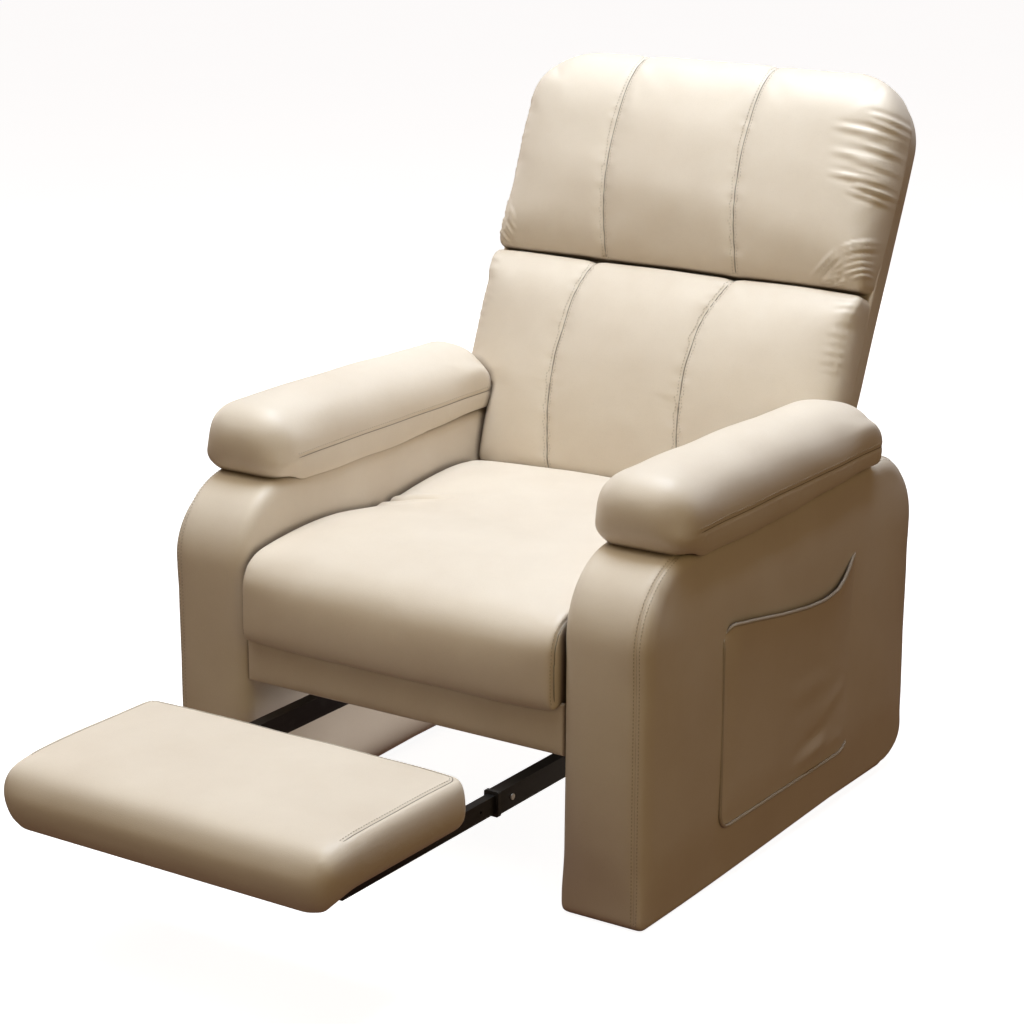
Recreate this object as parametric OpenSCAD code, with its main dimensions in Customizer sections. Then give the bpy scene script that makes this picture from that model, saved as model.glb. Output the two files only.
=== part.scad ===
// Upholstered armchair with a reclining back and a footrest that slides out from under the seat.
// Millimetres. +Z is up and the sitter faces -Y. "Right" is +X, as seen from in front.
// Every shape is drawn with y = 0 at the front of the arms and the floor at z = 0.
// in_frame() then moves it, so that the origin is at the middle of the footprint.

/* [Arms] */
// Distance between the outer faces of the arms
overall_width = 750; // [720:5:790]
// Thickness of one arm
arm_thickness = 122; // [110:1:130]
// Depth of an arm from front to rear
arm_depth = 736; // [725:1:760]
// Height of the top of the arm body, under its pad
arm_height = 480; // [470:1:490]
// Radius of the front top edge of the arm
arm_front_radius = 110; // [90:1:120]
// Radius of the rear top edge of the arm
arm_rear_radius = 100; // [95:1:120]
// Thickness of the padding around the wooden arm frame
arm_padding = 9; // [6:1:12]
// Height of the top of the arm pad
arm_pad_top = 578; // [560:1:590]

/* [Seat] */
// Lowest height of the apron under the seat
apron_bottom = 213; // [205:1:215]
// Height of the underside of the seat cushion
seat_bottom = 278; // [278:1:282]
// Height of the top of the seat cushion
seat_top = 410; // [395:1:425]
// Depth of the seat cushion behind the front of the arms
seat_depth = 545; // [530:1:546]

/* [Back] */
// Tilt of the back from vertical at its most upright stop, in degrees
back_tilt = 24; // [22:0.5:25]
// Length of the back along its slope, from the seat to the top edge
back_length = 632; // [600:1:650]
// Half width of the back above the arms
back_half_width = 310; // [290:1:315]
// Height along the slope of the seam between the two back cushions
back_seam = 322; // [310:1:340]
// Thickness of the body of the back
back_body = 57; // [54:1:62]
// Crown of the back cushions in front of that body
back_crown = 22; // [15:1:24]

/* [Recliner hinge] */
// Height of the hinge pin
hinge_z = 340; // [338:1:342]
// Distance of the hinge pin behind the front of the arms
hinge_y = 590; // [588:1:592]
// Radius of the hinge pin
hinge_pin_radius = 5; // [4:0.5:6]
// Radius of the toothed sector on the back plate
sector_radius = 34; // [33:0.5:35]
// Angle from one notch of the sector to the next, in degrees
notch_pitch = 9; // [9:9:9]
// Number of notches in the sector, so the back locks in this many places
notch_count = 6; // [6:1:6]
// Angle that lifts the pawl clear of the notches, in degrees
pawl_lift = 12; // [11:0.5:13]

/* [Footrest] */
// Half width of the footrest pad
footrest_half_width = 246; // [230:1:248]
// Distance of the pad's front edge in front of the arms when it is pulled out
footrest_reach = 481; // [470:1:500]
// Length of the pad from its front edge to its rear edge
footrest_length = 283; // [260:1:290]
// Height of the underside of the pad
footrest_bottom = 184; // [184:1:186]
// Height of the top of the pad
footrest_top = 256; // [245:1:262]

/* [Slide rails] */
// Distance of each rail's middle from the middle of the chair
rail_x = 199; // [190:1:200]
// Height of the middle of the rails
rail_z = 165; // [160:1:165]
// Width of the outer sleeve
sleeve_width = 18; // [18:1:20]
// Height of the outer sleeve
sleeve_height = 30; // [30:1:30]
// Wall of the outer sleeve
sleeve_wall = 1.5; // [1.2:0.1:1.8]
// Wall of the plastic guide inside the sleeve
guide_wall = 1; // [0.8:0.1:1]
// Clearance between a sliding piece and what guides it
slide_gap = 0.3; // [0.2:0.05:0.35]

/* [Side pocket] */
// Front edge of the pocket behind the front of the arms
pocket_front = 185; // [170:1:200]
// Rear edge of the pocket
pocket_rear = 566; // [540:1:580]
// Lowest height of the pocket
pocket_bottom = 80; // [70:1:100]
// Height of the corners of the pocket's mouth
pocket_top = 350; // [330:1:370]
// How far the pocket stands out from the arm
pocket_depth = 12; // [10:1:12]

/* [Hidden] */
$fn = 96;
cream = "#d8c9b4";
shade = "#8b7258";
timber = "#c49a62";
foam = "#e9dfae";
steel = "#1b1b1d";
zinc = "#b9bcc0";
plastic = "#222222";
webbing = "#3a342c";

left = -1;
right = 1;
sides = [left, right];

// Arms
arm_outer = overall_width / 2;
arm_inner = arm_outer - arm_thickness;
arm_bottom = 5;
arm_rear_bottom_radius = 60;
frame_front = 14;
frame_bar = 42;
inner_panel = 15;
outer_panel = 6;
pad_bulge = 13;
pad_front = 63;
pad_rear = 626;
pad_inner = arm_inner - 5;
pad_outer = arm_outer + pad_bulge;
pad_skin_gap = 2;
board_thickness = 11;
board_front = 112;
board_rear = 520;
board_margin = 22;
glide_radius = 16;
glide_y = [52, 640];
glide_x = arm_outer - arm_thickness / 2;
nail_radius = 2;
nail_length = 18;

// Seat
rail_thickness = 22;
rail_bottom = 218;
rail_top = 272;
apron_thickness = 12;
seat_front = -12;
cushion_gap = 6;
seat_rear_rail_y = 500;
rail_outer = arm_inner - 0.5;
rail_inner = 230;
wire = 3.6;
spring_count = 4;
bar_count = 12;
spring_spacing = 108;
bend_centre = 14;
skin = 5;
bolt_radius = 4;
bolt_clearance = 0.2;
bolt_head_radius = 6.5;
bolt_head = 6;
bolt_y = [90, 375];
bolt_z = 245;
stretcher_y = 682;
stretcher_z = [180, 320];
rear_apron_z = [150, 335];

// Back. Its own frame has y = 0 on the front of its body and z along the slope.
back_y = 555;
back_z = 402;
back_foot = -10;
back_narrow = arm_inner - 5;
wing_foot = 125;
shell_wall = 8;
cushion_depth = 26;
strap = 2;
member_front = cushion_depth + strap;
member_rear = back_body - 7;
top_radius = 60;
edge_radius = 15;
back_top_rear = back_y + (back_length - edge_radius) * sin(back_tilt)
    + (back_body - edge_radius) * cos(back_tilt) + edge_radius;

// Hinge plates, from the side rail inwards
plate = 4;
plate_gap = 0.4;
seat_plate_x = rail_inner - plate;
back_plate_x = seat_plate_x - plate_gap - plate;
stile_width = 24;
stile_outer = back_plate_x;
stile_inner = stile_outer - stile_width;
pin_gap = 0.05;
hinge_n = (hinge_y - back_y) * cos(back_tilt) - (hinge_z - back_z) * sin(back_tilt);
hinge_s = (hinge_y - back_y) * sin(back_tilt) + (hinge_z - back_z) * cos(back_tilt);
pawl_pin_radius = 3;
pawl_dy = -34;
pawl_dz = -40;
pawl_tooth_base = sector_radius + 1.2;
notch_depth = 5;
notch_top = 5;
notch_bottom = 3;
tooth_gap = 0.6;
screw_radius = 3;
screw_head_radius = 6;
screw_head = 3.2;
screw_length = 16;
seat_screw_y = [430, 490];
seat_screw_z = 245;
back_screw_s = [25, 85];
back_screw_n = 42;

// Footrest and its rails
footrest_front = -footrest_reach;
footrest_rear = footrest_front + footrest_length;
sleeve_front = -68;
sleeve_rear = 515;
sleeve_room_w = sleeve_width - 2 * sleeve_wall;
sleeve_room_h = sleeve_height - 2 * sleeve_wall;
tube_w = sleeve_room_w - 2 * (guide_wall + slide_gap);
tube_h = sleeve_room_h - 2 * (guide_wall + slide_gap);
tube_wall = 1.5;
tube_front = -385;
tube_rear = 90.3;
guide_rear = 90;
collar_front = -74;
collar_lip = 2;
stop_length = 18;
cap_length = 5;
bracket_y = [110, 440];
bracket_length = 30;
cross_bar_y = [-405, -295];
cross_bar_w = 20;
cross_bar_h = 12;
mount_y = [-430, -270];
mount_width = 38;

centre_y = (footrest_front + back_top_rear) / 2;

// Placing helpers

module in_frame() {
    translate([0, -centre_y, 0]) children();
}

module on_side(side) {
    if (side > 0) children();
    else mirror([1, 0, 0]) children();
}

// The back's own frame: y runs backwards through the back and z up its slope
module in_back() {
    translate([0, back_y, back_z]) rotate([-back_tilt, 0, 0]) children();
}

// A (y, z) outline, extruded along x
module slab_x(x0, x1) {
    translate([x0, 0, 0]) rotate([90, 0, 90]) linear_extrude(x1 - x0) children();
}

// An (x, z) outline, extruded along y
module slab_y(y0, y1) {
    translate([0, y1, 0]) rotate([90, 0, 0]) linear_extrude(y1 - y0) children();
}

// An (x, y) outline, extruded along z
module slab_z(z0, z1) {
    translate([0, 0, z0]) linear_extrude(z1 - z0) children();
}

module box(low, high) {
    translate(low) cube(high - low);
}

// A round bar along x
module bar_x(x0, x1, y, z, r) {
    translate([x0, y, z]) rotate([0, 90, 0]) cylinder(h = x1 - x0, r = r);
}

module corner_cut(p, angle, r) {
    if (r > 0) translate(p) rotate(angle) difference() {
        translate([-1, -1]) square(r + 1);
        translate([r, r]) circle(r);
    }
}

// A rectangle whose corners are rounded by r[0..3], counted from its low corner
module round_rect(low, high, r) {
    difference() {
        translate(low) square(high - low);
        corner_cut(low, 0, r[0]);
        corner_cut([high[0], low[1]], 90, r[1]);
        corner_cut(high, 180, r[2]);
        corner_cut([low[0], high[1]], 270, r[3]);
    }
}

// The side view of an arm, drawn in by the given inset
module arm_outline(inset, foot) {
    round_rect([inset, foot], [arm_depth - inset, arm_height - inset],
        [max(12 - inset, 0), arm_rear_bottom_radius - inset, arm_rear_radius - inset,
         arm_front_radius - inset]);
}

module arm_frame_solid() {
    slab_x(arm_inner + arm_padding, arm_outer - arm_padding - 2) arm_outline(frame_front, arm_bottom);
}

// Arms

module arm_frame(side) {
    color(timber) in_frame() on_side(side) difference() {
        arm_frame_solid();
        slab_x(arm_inner + arm_padding + inner_panel, arm_outer - arm_padding - 2 - outer_panel)
            arm_outline(frame_front + frame_bar, frame_front + frame_bar);
        for (y = bolt_y) bar_x(arm_inner, arm_outer - 40, y, bolt_z, bolt_radius + bolt_clearance);
        for (y = glide_y) translate([glide_x, y, 0]) cylinder(h = arm_bottom + nail_length, r = nail_radius);
    }
}

module arm_cover(side) {
    color(cream) in_frame() on_side(side) difference() {
        intersection() {
            slab_x(arm_inner, arm_outer) arm_outline(0, arm_bottom);
            slab_z(arm_bottom - 1, arm_height + 1)
                round_rect([arm_inner, 0], [arm_outer, arm_depth], [8, 30, 20, 8]);
            slab_y(-1, arm_depth + 1)
                round_rect([arm_inner, arm_bottom - 1], [arm_outer, arm_height], [0, 0, 14, 6]);
        }
        arm_frame_solid();
        slab_x(arm_inner + arm_padding, arm_outer - arm_padding - 2)
            translate([frame_front + 30, arm_bottom - 2]) square([arm_depth - 2 * frame_front - 90, 4]);
        for (y = bolt_y) bar_x(arm_inner - 1, arm_outer - 40, y, bolt_z, bolt_radius + bolt_clearance);
    }
}

module arm_pad_board(side) {
    color(timber) in_frame() on_side(side)
        box([pad_inner + board_margin, board_front, arm_height],
            [pad_outer - board_margin, board_rear, arm_height + board_thickness]);
}

module arm_pad(side) {
    low = arm_height + pad_skin_gap;
    color(cream) in_frame() on_side(side) difference() {
        intersection() {
            slab_x(pad_inner, pad_outer)
                round_rect([pad_front, low], [pad_rear, arm_pad_top], [38, 25, 42, 52]);
            slab_y(0, arm_depth)
                round_rect([pad_inner, low], [pad_outer, arm_pad_top], [28, 28, 36, 36]);
            slab_z(low - 1, arm_pad_top + 1) difference() {
                round_rect([pad_inner, pad_front], [pad_outer, pad_rear], [18, 18, 18, 0]);
                polygon([[pad_inner - 1, pad_rear - 59], [pad_outer + 1, pad_rear - 3],
                         [pad_inner - 1, pad_rear + 34]]);
            }
        }
        box([pad_inner + board_margin, board_front, low - 2],
            [pad_outer - board_margin, board_rear, arm_height + board_thickness]);
    }
}

module pocket_outline(inset, top) {
    round_rect([pocket_front + inset, pocket_bottom + inset], [pocket_rear - inset, top],
        [24 - inset, 40 - inset, 4, 22]);
}

// A flat bag on the outside of the right arm, open at the top
module side_pocket() {
    mouth_radius = 417;
    mouth_dip = 26;
    wall = 2.5;
    color(shade) in_frame() difference() {
        slab_x(arm_outer, arm_outer + pocket_depth) difference() {
            pocket_outline(0, pocket_top);
            translate([pocket_front + 230, pocket_top - mouth_dip + mouth_radius])
                circle(r = mouth_radius, $fn = 240);
        }
        slab_x(arm_outer - 1, arm_outer + pocket_depth - wall) pocket_outline(5, pocket_top + 50);
    }
}

module floor_glides() {
    color(plastic) in_frame() for (side = sides, y = glide_y) translate([side * glide_x, y, 0]) {
        cylinder(h = 2, r1 = glide_radius - 2, r2 = glide_radius);
        translate([0, 0, 2]) cylinder(h = arm_bottom - 2, r = glide_radius);
        translate([0, 0, arm_bottom]) cylinder(h = nail_length, r = nail_radius);
    }
}

// Seat

module front_apron() {
    color(cream) in_frame() slab_x(-rail_outer, rail_outer)
        round_rect([0, apron_bottom], [apron_thickness, seat_bottom - 1], [8, 2, 2, 6]);
}

module seat_rail_front() {
    color(timber) in_frame() box([-rail_outer, apron_thickness, rail_bottom],
        [rail_outer, apron_thickness + rail_thickness, rail_top]);
}

// Its ends meet the hinge plates, which lie between it and the side rails
module seat_rail_rear() {
    color(timber) in_frame() box([-seat_plate_x, seat_rear_rail_y, rail_bottom],
        [seat_plate_x, seat_rear_rail_y + rail_thickness, rail_top]);
}

module seat_rail_side(side) {
    color(timber) in_frame() on_side(side) difference() {
        box([rail_inner, apron_thickness + rail_thickness, rail_bottom],
            [rail_outer, seat_rear_rail_y + rail_thickness, rail_top]);
        for (y = bolt_y) bar_x(rail_inner - 1, rail_outer + 1, y, bolt_z, bolt_radius + bolt_clearance);
        for (y = seat_screw_y) bar_x(rail_inner - 1, rail_inner + screw_length, y, seat_screw_z, screw_radius);
    }
}

// One half ring of wire, open towards -x
module wire_bend(r) {
    difference() {
        circle(r + wire / 2, $fn = 48);
        circle(r - wire / 2, $fn = 48);
        translate([-2 * r, -2 * r]) square([2 * r, 4 * r]);
    }
}

// A zigzag spring: cross bars joined by half rings at alternate ends
module zigzag(length) {
    pitch = length / (bar_count - 1);
    for (i = [0 : bar_count - 1]) translate([-bend_centre, i * pitch - wire / 2])
        square([2 * bend_centre, wire]);
    for (i = [0 : bar_count - 2]) translate([0, (i + 0.5) * pitch]) mirror([i % 2, 0])
        translate([bend_centre, 0]) wire_bend(pitch / 2);
}

module seat_springs() {
    spring_front = apron_thickness + 12;
    spring_length = seat_rear_rail_y + rail_thickness - 12 - spring_front;
    color(zinc) in_frame() for (i = [0 : spring_count - 1])
        translate([(i - (spring_count - 1) / 2) * spring_spacing, spring_front, rail_top])
            linear_extrude(wire) zigzag(spring_length);
}

module dust_cover() {
    color(webbing) in_frame() box([-rail_inner, apron_thickness + rail_thickness, rail_bottom],
        [rail_inner, seat_rear_rail_y, rail_bottom + 1.5]);
}

module seat_solid(inset) {
    low = seat_bottom + inset;
    side = arm_inner - cushion_gap - inset;
    intersection() {
        slab_x(-side, side) round_rect([seat_front + inset, low], [seat_depth - inset, seat_top - inset],
            [18 - inset, 12 - inset, 25 - inset, 52 - inset]);
        slab_y(seat_front - 1, seat_depth + 1)
            round_rect([-side, low], [side, seat_top - inset], [10 - inset, 10 - inset, 20 - inset, 20 - inset]);
    }
}

module seat_cushion() {
    color(cream) in_frame() difference() {
        seat_solid(0);
        seat_solid(skin);
    }
}

module seat_foam() {
    color(foam) in_frame() seat_solid(skin);
}

module rear_stretcher() {
    color(timber) in_frame() box([-rail_outer, stretcher_y, stretcher_z[0]],
        [rail_outer, stretcher_y + rail_thickness, stretcher_z[1]]);
}

module rear_apron() {
    rear = stretcher_y + rail_thickness;
    color(cream) in_frame() slab_x(-rail_outer, rail_outer)
        round_rect([rear, rear_apron_z[0]], [rear + apron_thickness, rear_apron_z[1]], [2, 7, 7, 2]);
}

// Bolts that tie the side rails to the arms, each with its nut plate inside the arm
module frame_bolts() {
    panel = arm_inner + arm_padding + inner_panel;
    color(zinc) in_frame() for (side = sides, y = bolt_y) on_side(side) {
        difference() {
            bar_x(rail_inner - bolt_head, rail_inner, y, bolt_z, bolt_head_radius);
            translate([rail_inner - bolt_head - 1, y, bolt_z]) rotate([0, 90, 0])
                cylinder(h = 4, r = 3.4, $fn = 6);
        }
        bar_x(rail_inner, panel + 8, y, bolt_z, bolt_radius);
        difference() {
            bar_x(panel, panel + 6, y, bolt_z, 11);
            bar_x(panel - 1, panel + 7, y, bolt_z, bolt_radius);
        }
    }
}

// Slide rails

module rail_section(w, h) {
    translate([rail_x - w / 2, rail_z - h / 2]) square([w, h]);
}

module rail_sleeve(side) {
    color(steel) in_frame() on_side(side) difference() {
        slab_y(sleeve_front, sleeve_rear) rail_section(sleeve_width, sleeve_height);
        slab_y(sleeve_front - 1, sleeve_rear + 1) rail_section(sleeve_room_w, sleeve_room_h);
        bar_x(rail_x, rail_x + sleeve_width, -40, rail_z, 2);
    }
}

// A collar on the mouth of the sleeve, with a thin guide that lines the sleeve behind it
module rail_guide(side) {
    color(plastic) in_frame() on_side(side) difference() {
        union() {
            slab_y(collar_front, sleeve_front)
                translate([rail_x - sleeve_width / 2 - collar_lip, rail_z - sleeve_height / 2 - collar_lip])
                    round_rect([0, 0], [sleeve_width + 2 * collar_lip, sleeve_height + 2 * collar_lip],
                        [3, 3, 3, 3]);
            slab_y(sleeve_front, guide_rear) rail_section(sleeve_room_w, sleeve_room_h);
        }
        slab_y(collar_front - 1, guide_rear + 1)
            rail_section(sleeve_room_w - 2 * guide_wall, sleeve_room_h - 2 * guide_wall);
        bar_x(rail_x, rail_x + sleeve_width, -40, rail_z, 2);
    }
}

// Angle brackets that hang the sleeves from the side rails
module sleeve_brackets() {
    x0 = rail_x + sleeve_width / 2;
    color(steel) in_frame() for (side = sides, y = bracket_y) on_side(side)
        slab_y(y, y + bracket_length)
            polygon([[x0, rail_z - 10], [x0 + 3, rail_z - 10], [x0 + 3, rail_bottom - 3],
                     [rail_outer, rail_bottom - 3], [rail_outer, rail_bottom], [x0, rail_bottom]]);
}

// The bright screw that holds each guide in its sleeve
module sleeve_screws() {
    face = rail_x + sleeve_width / 2;
    color(zinc) in_frame() for (side = sides) on_side(side) {
        bar_x(face, face + 1.6, -40, rail_z, 4);
        bar_x(face - sleeve_wall - guide_wall, face, -40, rail_z, 2);
    }
}

// Recliner hinges

// Points on an arc about the centre c
function arc_points(c, r, from, to, count) = [
    for (i = [0 : count]) let (a = from + (to - from) * i / count) c + r * [cos(a), sin(a)]
];

// A plate that is bolted along the side rail and reaches back to the hinge pin
module hinge_plate_seat(side) {
    outline = concat([[405, 224], [405, 266], [547, 270], [548.5, 312]],
        arc_points([hinge_y, hinge_z], 21, 160, -20, 12), [[604, 268], [566, 232], [536, 224]]);
    color(steel) in_frame() on_side(side) difference() {
        slab_x(seat_plate_x, seat_plate_x + plate) polygon(outline);
        bar_x(seat_plate_x - 1, rail_inner + 1, hinge_y, hinge_z, hinge_pin_radius);
        bar_x(seat_plate_x - 1, rail_inner + 1, hinge_y + pawl_dy, hinge_z + pawl_dz, pawl_pin_radius);
        for (y = seat_screw_y) bar_x(seat_plate_x - 1, rail_inner + 1, y, seat_screw_z, screw_radius);
    }
}

module pivot_bolts() {
    color(zinc) in_frame() for (side = sides) on_side(side) {
        bar_x(back_plate_x - 6, rail_inner + 6, hinge_y, hinge_z, hinge_pin_radius);
        bar_x(rail_inner, rail_inner + 6, hinge_y, hinge_z, 9);
        bar_x(back_plate_x - 6, back_plate_x - 0.3, hinge_y, hinge_z, 9);
    }
}

module pawl_pins() {
    y = hinge_y + pawl_dy;
    z = hinge_z + pawl_dz;
    color(zinc) in_frame() for (side = sides) on_side(side) {
        bar_x(back_plate_x - 3, rail_inner + 2, y, z, pawl_pin_radius);
        bar_x(rail_inner, rail_inner + 2, y, z, 5);
        bar_x(back_plate_x - 3, back_plate_x - 0.3, y, z, 5.5);
    }
}

module hinge_screws_seat() {
    color(zinc) in_frame() for (side = sides, y = seat_screw_y) on_side(side) {
        bar_x(seat_plate_x - screw_head, seat_plate_x, y, seat_screw_z, screw_head_radius);
        bar_x(seat_plate_x, rail_inner + screw_length, y, seat_screw_z, screw_radius);
    }
}

// A notch of the sector, drawn straight below its middle
module notch() {
    root = sector_radius - notch_depth - tooth_gap;
    polygon([[-notch_bottom / 2 - tooth_gap, -root], [notch_bottom / 2 + tooth_gap, -root],
             [notch_top / 2 + tooth_gap, -sector_radius - 2],
             [-notch_top / 2 - tooth_gap, -sector_radius - 2]]);
}

// A toothed disc on the hinge pin with an arm that is screwed to the back's stile
module hinge_plate_back(side) {
    color(steel) in_frame() in_back() on_side(side) difference() {
        slab_x(back_plate_x, back_plate_x + plate) {
            difference() {
                translate([hinge_n, hinge_s]) circle(sector_radius);
                for (i = [0 : notch_count - 1]) translate([hinge_n, hinge_s])
                    rotate(back_tilt + i * notch_pitch) notch();
            }
            round_rect([member_front + 2, hinge_s], [member_rear - 0.5, 110], [0, 0, 8, 8]);
        }
        bar_x(back_plate_x - 1, seat_plate_x, hinge_n, hinge_s, hinge_pin_radius + pin_gap);
        for (s = back_screw_s)
            bar_x(back_plate_x - 1, seat_plate_x, back_screw_n, s, screw_radius);
    }
}

module hinge_screws_back() {
    face = back_plate_x + plate;
    color(zinc) in_frame() in_back() for (side = sides, s = back_screw_s) on_side(side) {
        bar_x(face, face + screw_head, back_screw_n, s, screw_head_radius);
        bar_x(stile_outer - screw_length, face, back_screw_n, s, screw_radius);
    }
}

// A small lever that locks the sector. It is drawn dropped, clear of the notches.
module pawl(side) {
    tip = [-pawl_dy, -pawl_dz];
    base = tip[1] - pawl_tooth_base;
    root = tip[1] - sector_radius + notch_depth;
    outline = concat(arc_points([0, 0], 6, 80, 280, 10),
        [[tip[0] + 3, -5], [tip[0] + 5, base], [tip[0] + notch_top / 2, base],
         [tip[0] + notch_bottom / 2, root], [tip[0] - notch_bottom / 2, root],
         [tip[0] - notch_top / 2, base]]);
    color(zinc) in_frame() on_side(side)
        translate([0, hinge_y + pawl_dy, hinge_z + pawl_dz]) rotate([-pawl_lift, 0, 0])
            difference() {
                slab_x(back_plate_x, back_plate_x + plate) polygon(outline);
                bar_x(back_plate_x - 1, seat_plate_x, 0, 0, pawl_pin_radius + pin_gap);
            }
}

// Back

module back_outline(inset) {
    round_rect([-back_narrow + inset, back_foot], [back_narrow - inset, wing_foot + 30], [0, 0, 0, 0]);
    round_rect([-back_half_width + inset, wing_foot + inset],
        [back_half_width - inset, back_length - inset],
        [18, 18, top_radius - inset, top_radius - inset]);
}

module back_shell() {
    color(shade) in_frame() in_back() intersection() {
        difference() {
            slab_y(0, back_body) back_outline(0);
            slab_y(-1, member_rear) {
                back_outline(shell_wall);
                translate([-back_narrow + shell_wall, back_foot - 1])
                    square([2 * (back_narrow - shell_wall), 10]);
            }
            for (side = sides) on_side(side)
                box([back_plate_x - 2, -1, back_foot - 1], [seat_plate_x + 2, back_body + 1, back_foot + 5]);
        }
        slab_x(-back_half_width, back_half_width)
            round_rect([-back_crown, back_foot], [back_body, back_length], [0, 0, edge_radius, 20]);
    }
}

module back_stile(side) {
    color(timber) in_frame() in_back() on_side(side) difference() {
        box([stile_inner, member_front, back_foot], [stile_outer, member_rear, back_length - 44]);
        for (s = back_screw_s)
            bar_x(stile_outer - screw_length, stile_outer + 1, back_screw_n, s, screw_radius);
    }
}

module back_post(side) {
    color(timber) in_frame() in_back() on_side(side)
        box([back_half_width - 34, member_front, wing_foot + 40],
            [back_half_width - 12, member_rear, back_length - 70]);
}

module back_rail_top() {
    color(timber) in_frame() in_back()
        slab_y(member_front, member_rear)
            round_rect([-back_half_width + 12, back_length - 44], [back_half_width - 12, back_length - 14],
                [0, 0, 44, 44]);
}

// Two short arms and a bar between the stiles, where the back widens above the arms
module back_rail_middle() {
    s = wing_foot + 12;
    color(timber) in_frame() in_back() {
        box([-stile_inner, member_front, s], [stile_inner, member_rear, s + 28]);
        for (side = sides) on_side(side)
            box([stile_outer, member_front, s], [back_half_width - 16, member_rear, s + 28]);
    }
}

module back_rail_bottom() {
    color(timber) in_frame() in_back()
        box([-stile_inner, member_front, back_foot], [stile_inner, member_rear, back_foot + 40]);
}

module back_webbing() {
    color(webbing) in_frame() in_back() for (s = [50 : 92 : 550])
        box([-stile_outer, cushion_depth, s], [stile_outer, member_front, s + 50]);
}

// The outline of one cushion: the lower one narrows between the arms
module cushion_outline(inset, low, high) {
    intersection() {
        back_outline(inset);
        translate([-back_half_width, low + inset]) square([2 * back_half_width, high - low - 2 * inset]);
    }
}

// A slab behind the shell's front edge and a crowned lip in front of it
module back_pad_solid(inset, low, high) {
    lip = shell_wall + inset;
    intersection() {
        union() {
            slab_y(-1, cushion_depth - inset) cushion_outline(lip, low - lip + inset, high + lip - inset);
            slab_y(-back_crown + inset, 0) cushion_outline(inset, low, high);
        }
        slab_x(-back_half_width, back_half_width)
            round_rect([-back_crown + inset, low + inset], [cushion_depth, high - inset],
                [18, 0, 0, 20]);
        slab_z(low, high) {
            round_rect([-back_half_width + inset, -back_crown + inset],
                [back_half_width - inset, cushion_depth + 1], [20, 20, 0, 0]);
        }
    }
}

module lumbar_solid(inset) {
    back_pad_solid(inset, back_foot, back_seam);
}

module head_solid(inset) {
    back_pad_solid(inset, back_seam, back_length);
}

module lumbar_cushion() {
    color(cream) in_frame() in_back() difference() {
        lumbar_solid(0);
        lumbar_solid(skin);
    }
}

module lumbar_foam() {
    color(foam) in_frame() in_back() lumbar_solid(skin);
}

module head_cushion() {
    color(cream) in_frame() in_back() difference() {
        head_solid(0);
        head_solid(skin);
    }
}

module head_foam() {
    color(foam) in_frame() in_back() head_solid(skin);
}

// Footrest

module footrest_solid(inset) {
    low = [footrest_front + inset, footrest_bottom + inset];
    high = [footrest_rear - inset, footrest_top - inset];
    side = footrest_half_width - inset;
    intersection() {
        slab_x(-side, side) round_rect(low, high, [26 - inset, 12 - inset, 14 - inset, 32 - inset]);
        slab_y(low[0], high[0]) round_rect([-side, low[1]], [side, high[1]],
            [10 - inset, 10 - inset, 12 - inset, 12 - inset]);
        slab_z(low[1], high[1]) round_rect([-side, low[0]], [side, high[0]],
            [26 - inset, 26 - inset, 16 - inset, 16 - inset]);
    }
}

module footrest_base(low, high) {
    intersection() {
        footrest_solid(skin);
        box([-footrest_half_width, footrest_front, low], [footrest_half_width, footrest_rear, high]);
    }
}

module footrest_cushion() {
    color(cream) in_frame() difference() {
        footrest_solid(0);
        footrest_solid(skin);
    }
}

module footrest_foam() {
    color(foam) in_frame() footrest_base(footrest_bottom + skin + 12, footrest_top);
}

module footrest_board() {
    color(timber) in_frame() footrest_base(footrest_bottom, footrest_bottom + skin + 12);
}

module rail_tube(side) {
    color(steel) in_frame() on_side(side) difference() {
        slab_y(tube_front, tube_rear) rail_section(tube_w, tube_h);
        slab_y(tube_front - 1, tube_rear + 1) rail_section(tube_w - 2 * tube_wall, tube_h - 2 * tube_wall);
        translate([rail_x, -106, rail_z]) rotate([0, 90, 0]) cylinder(h = 20, r = 2.2);
    }
}

module footrest_cross_bars() {
    x = rail_x - tube_w / 2;
    color(steel) in_frame() for (y = cross_bar_y) difference() {
        box([-x, y, rail_z - cross_bar_h / 2], [x, y + cross_bar_w, rail_z + cross_bar_h / 2]);
        box([-x - 1, y + tube_wall, rail_z - cross_bar_h / 2 + tube_wall],
            [x + 1, y + cross_bar_w - tube_wall, rail_z + cross_bar_h / 2 - tube_wall]);
    }
}

// Plastic plugs in the front ends of the tubes
module rail_end_caps() {
    color(plastic) in_frame() for (side = sides) on_side(side) {
        slab_y(tube_front - cap_length, tube_front) rail_section(tube_w, tube_h);
        slab_y(tube_front, tube_front + 12) rail_section(tube_w - 2 * tube_wall, tube_h - 2 * tube_wall);
    }
}

// Blocks on the rear ends of the tubes, which are too big to pass through the guides
module stop_blocks() {
    color(plastic) in_frame() for (side = sides) on_side(side) {
        slab_y(tube_rear, tube_rear + stop_length)
            rail_section(sleeve_room_w - 2 * slide_gap, sleeve_room_h - 2 * slide_gap);
        slab_y(tube_rear - 12, tube_rear) rail_section(tube_w - 2 * tube_wall, tube_h - 2 * tube_wall);
    }
}

// Plates between the tubes and the board, with their screws
module mounting_plates() {
    low = rail_z + tube_h / 2;
    color(steel) in_frame() for (side = sides) on_side(side)
        box([rail_x - mount_width / 2, mount_y[0], low], [rail_x + mount_width / 2, mount_y[1], footrest_bottom]);
}

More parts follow.
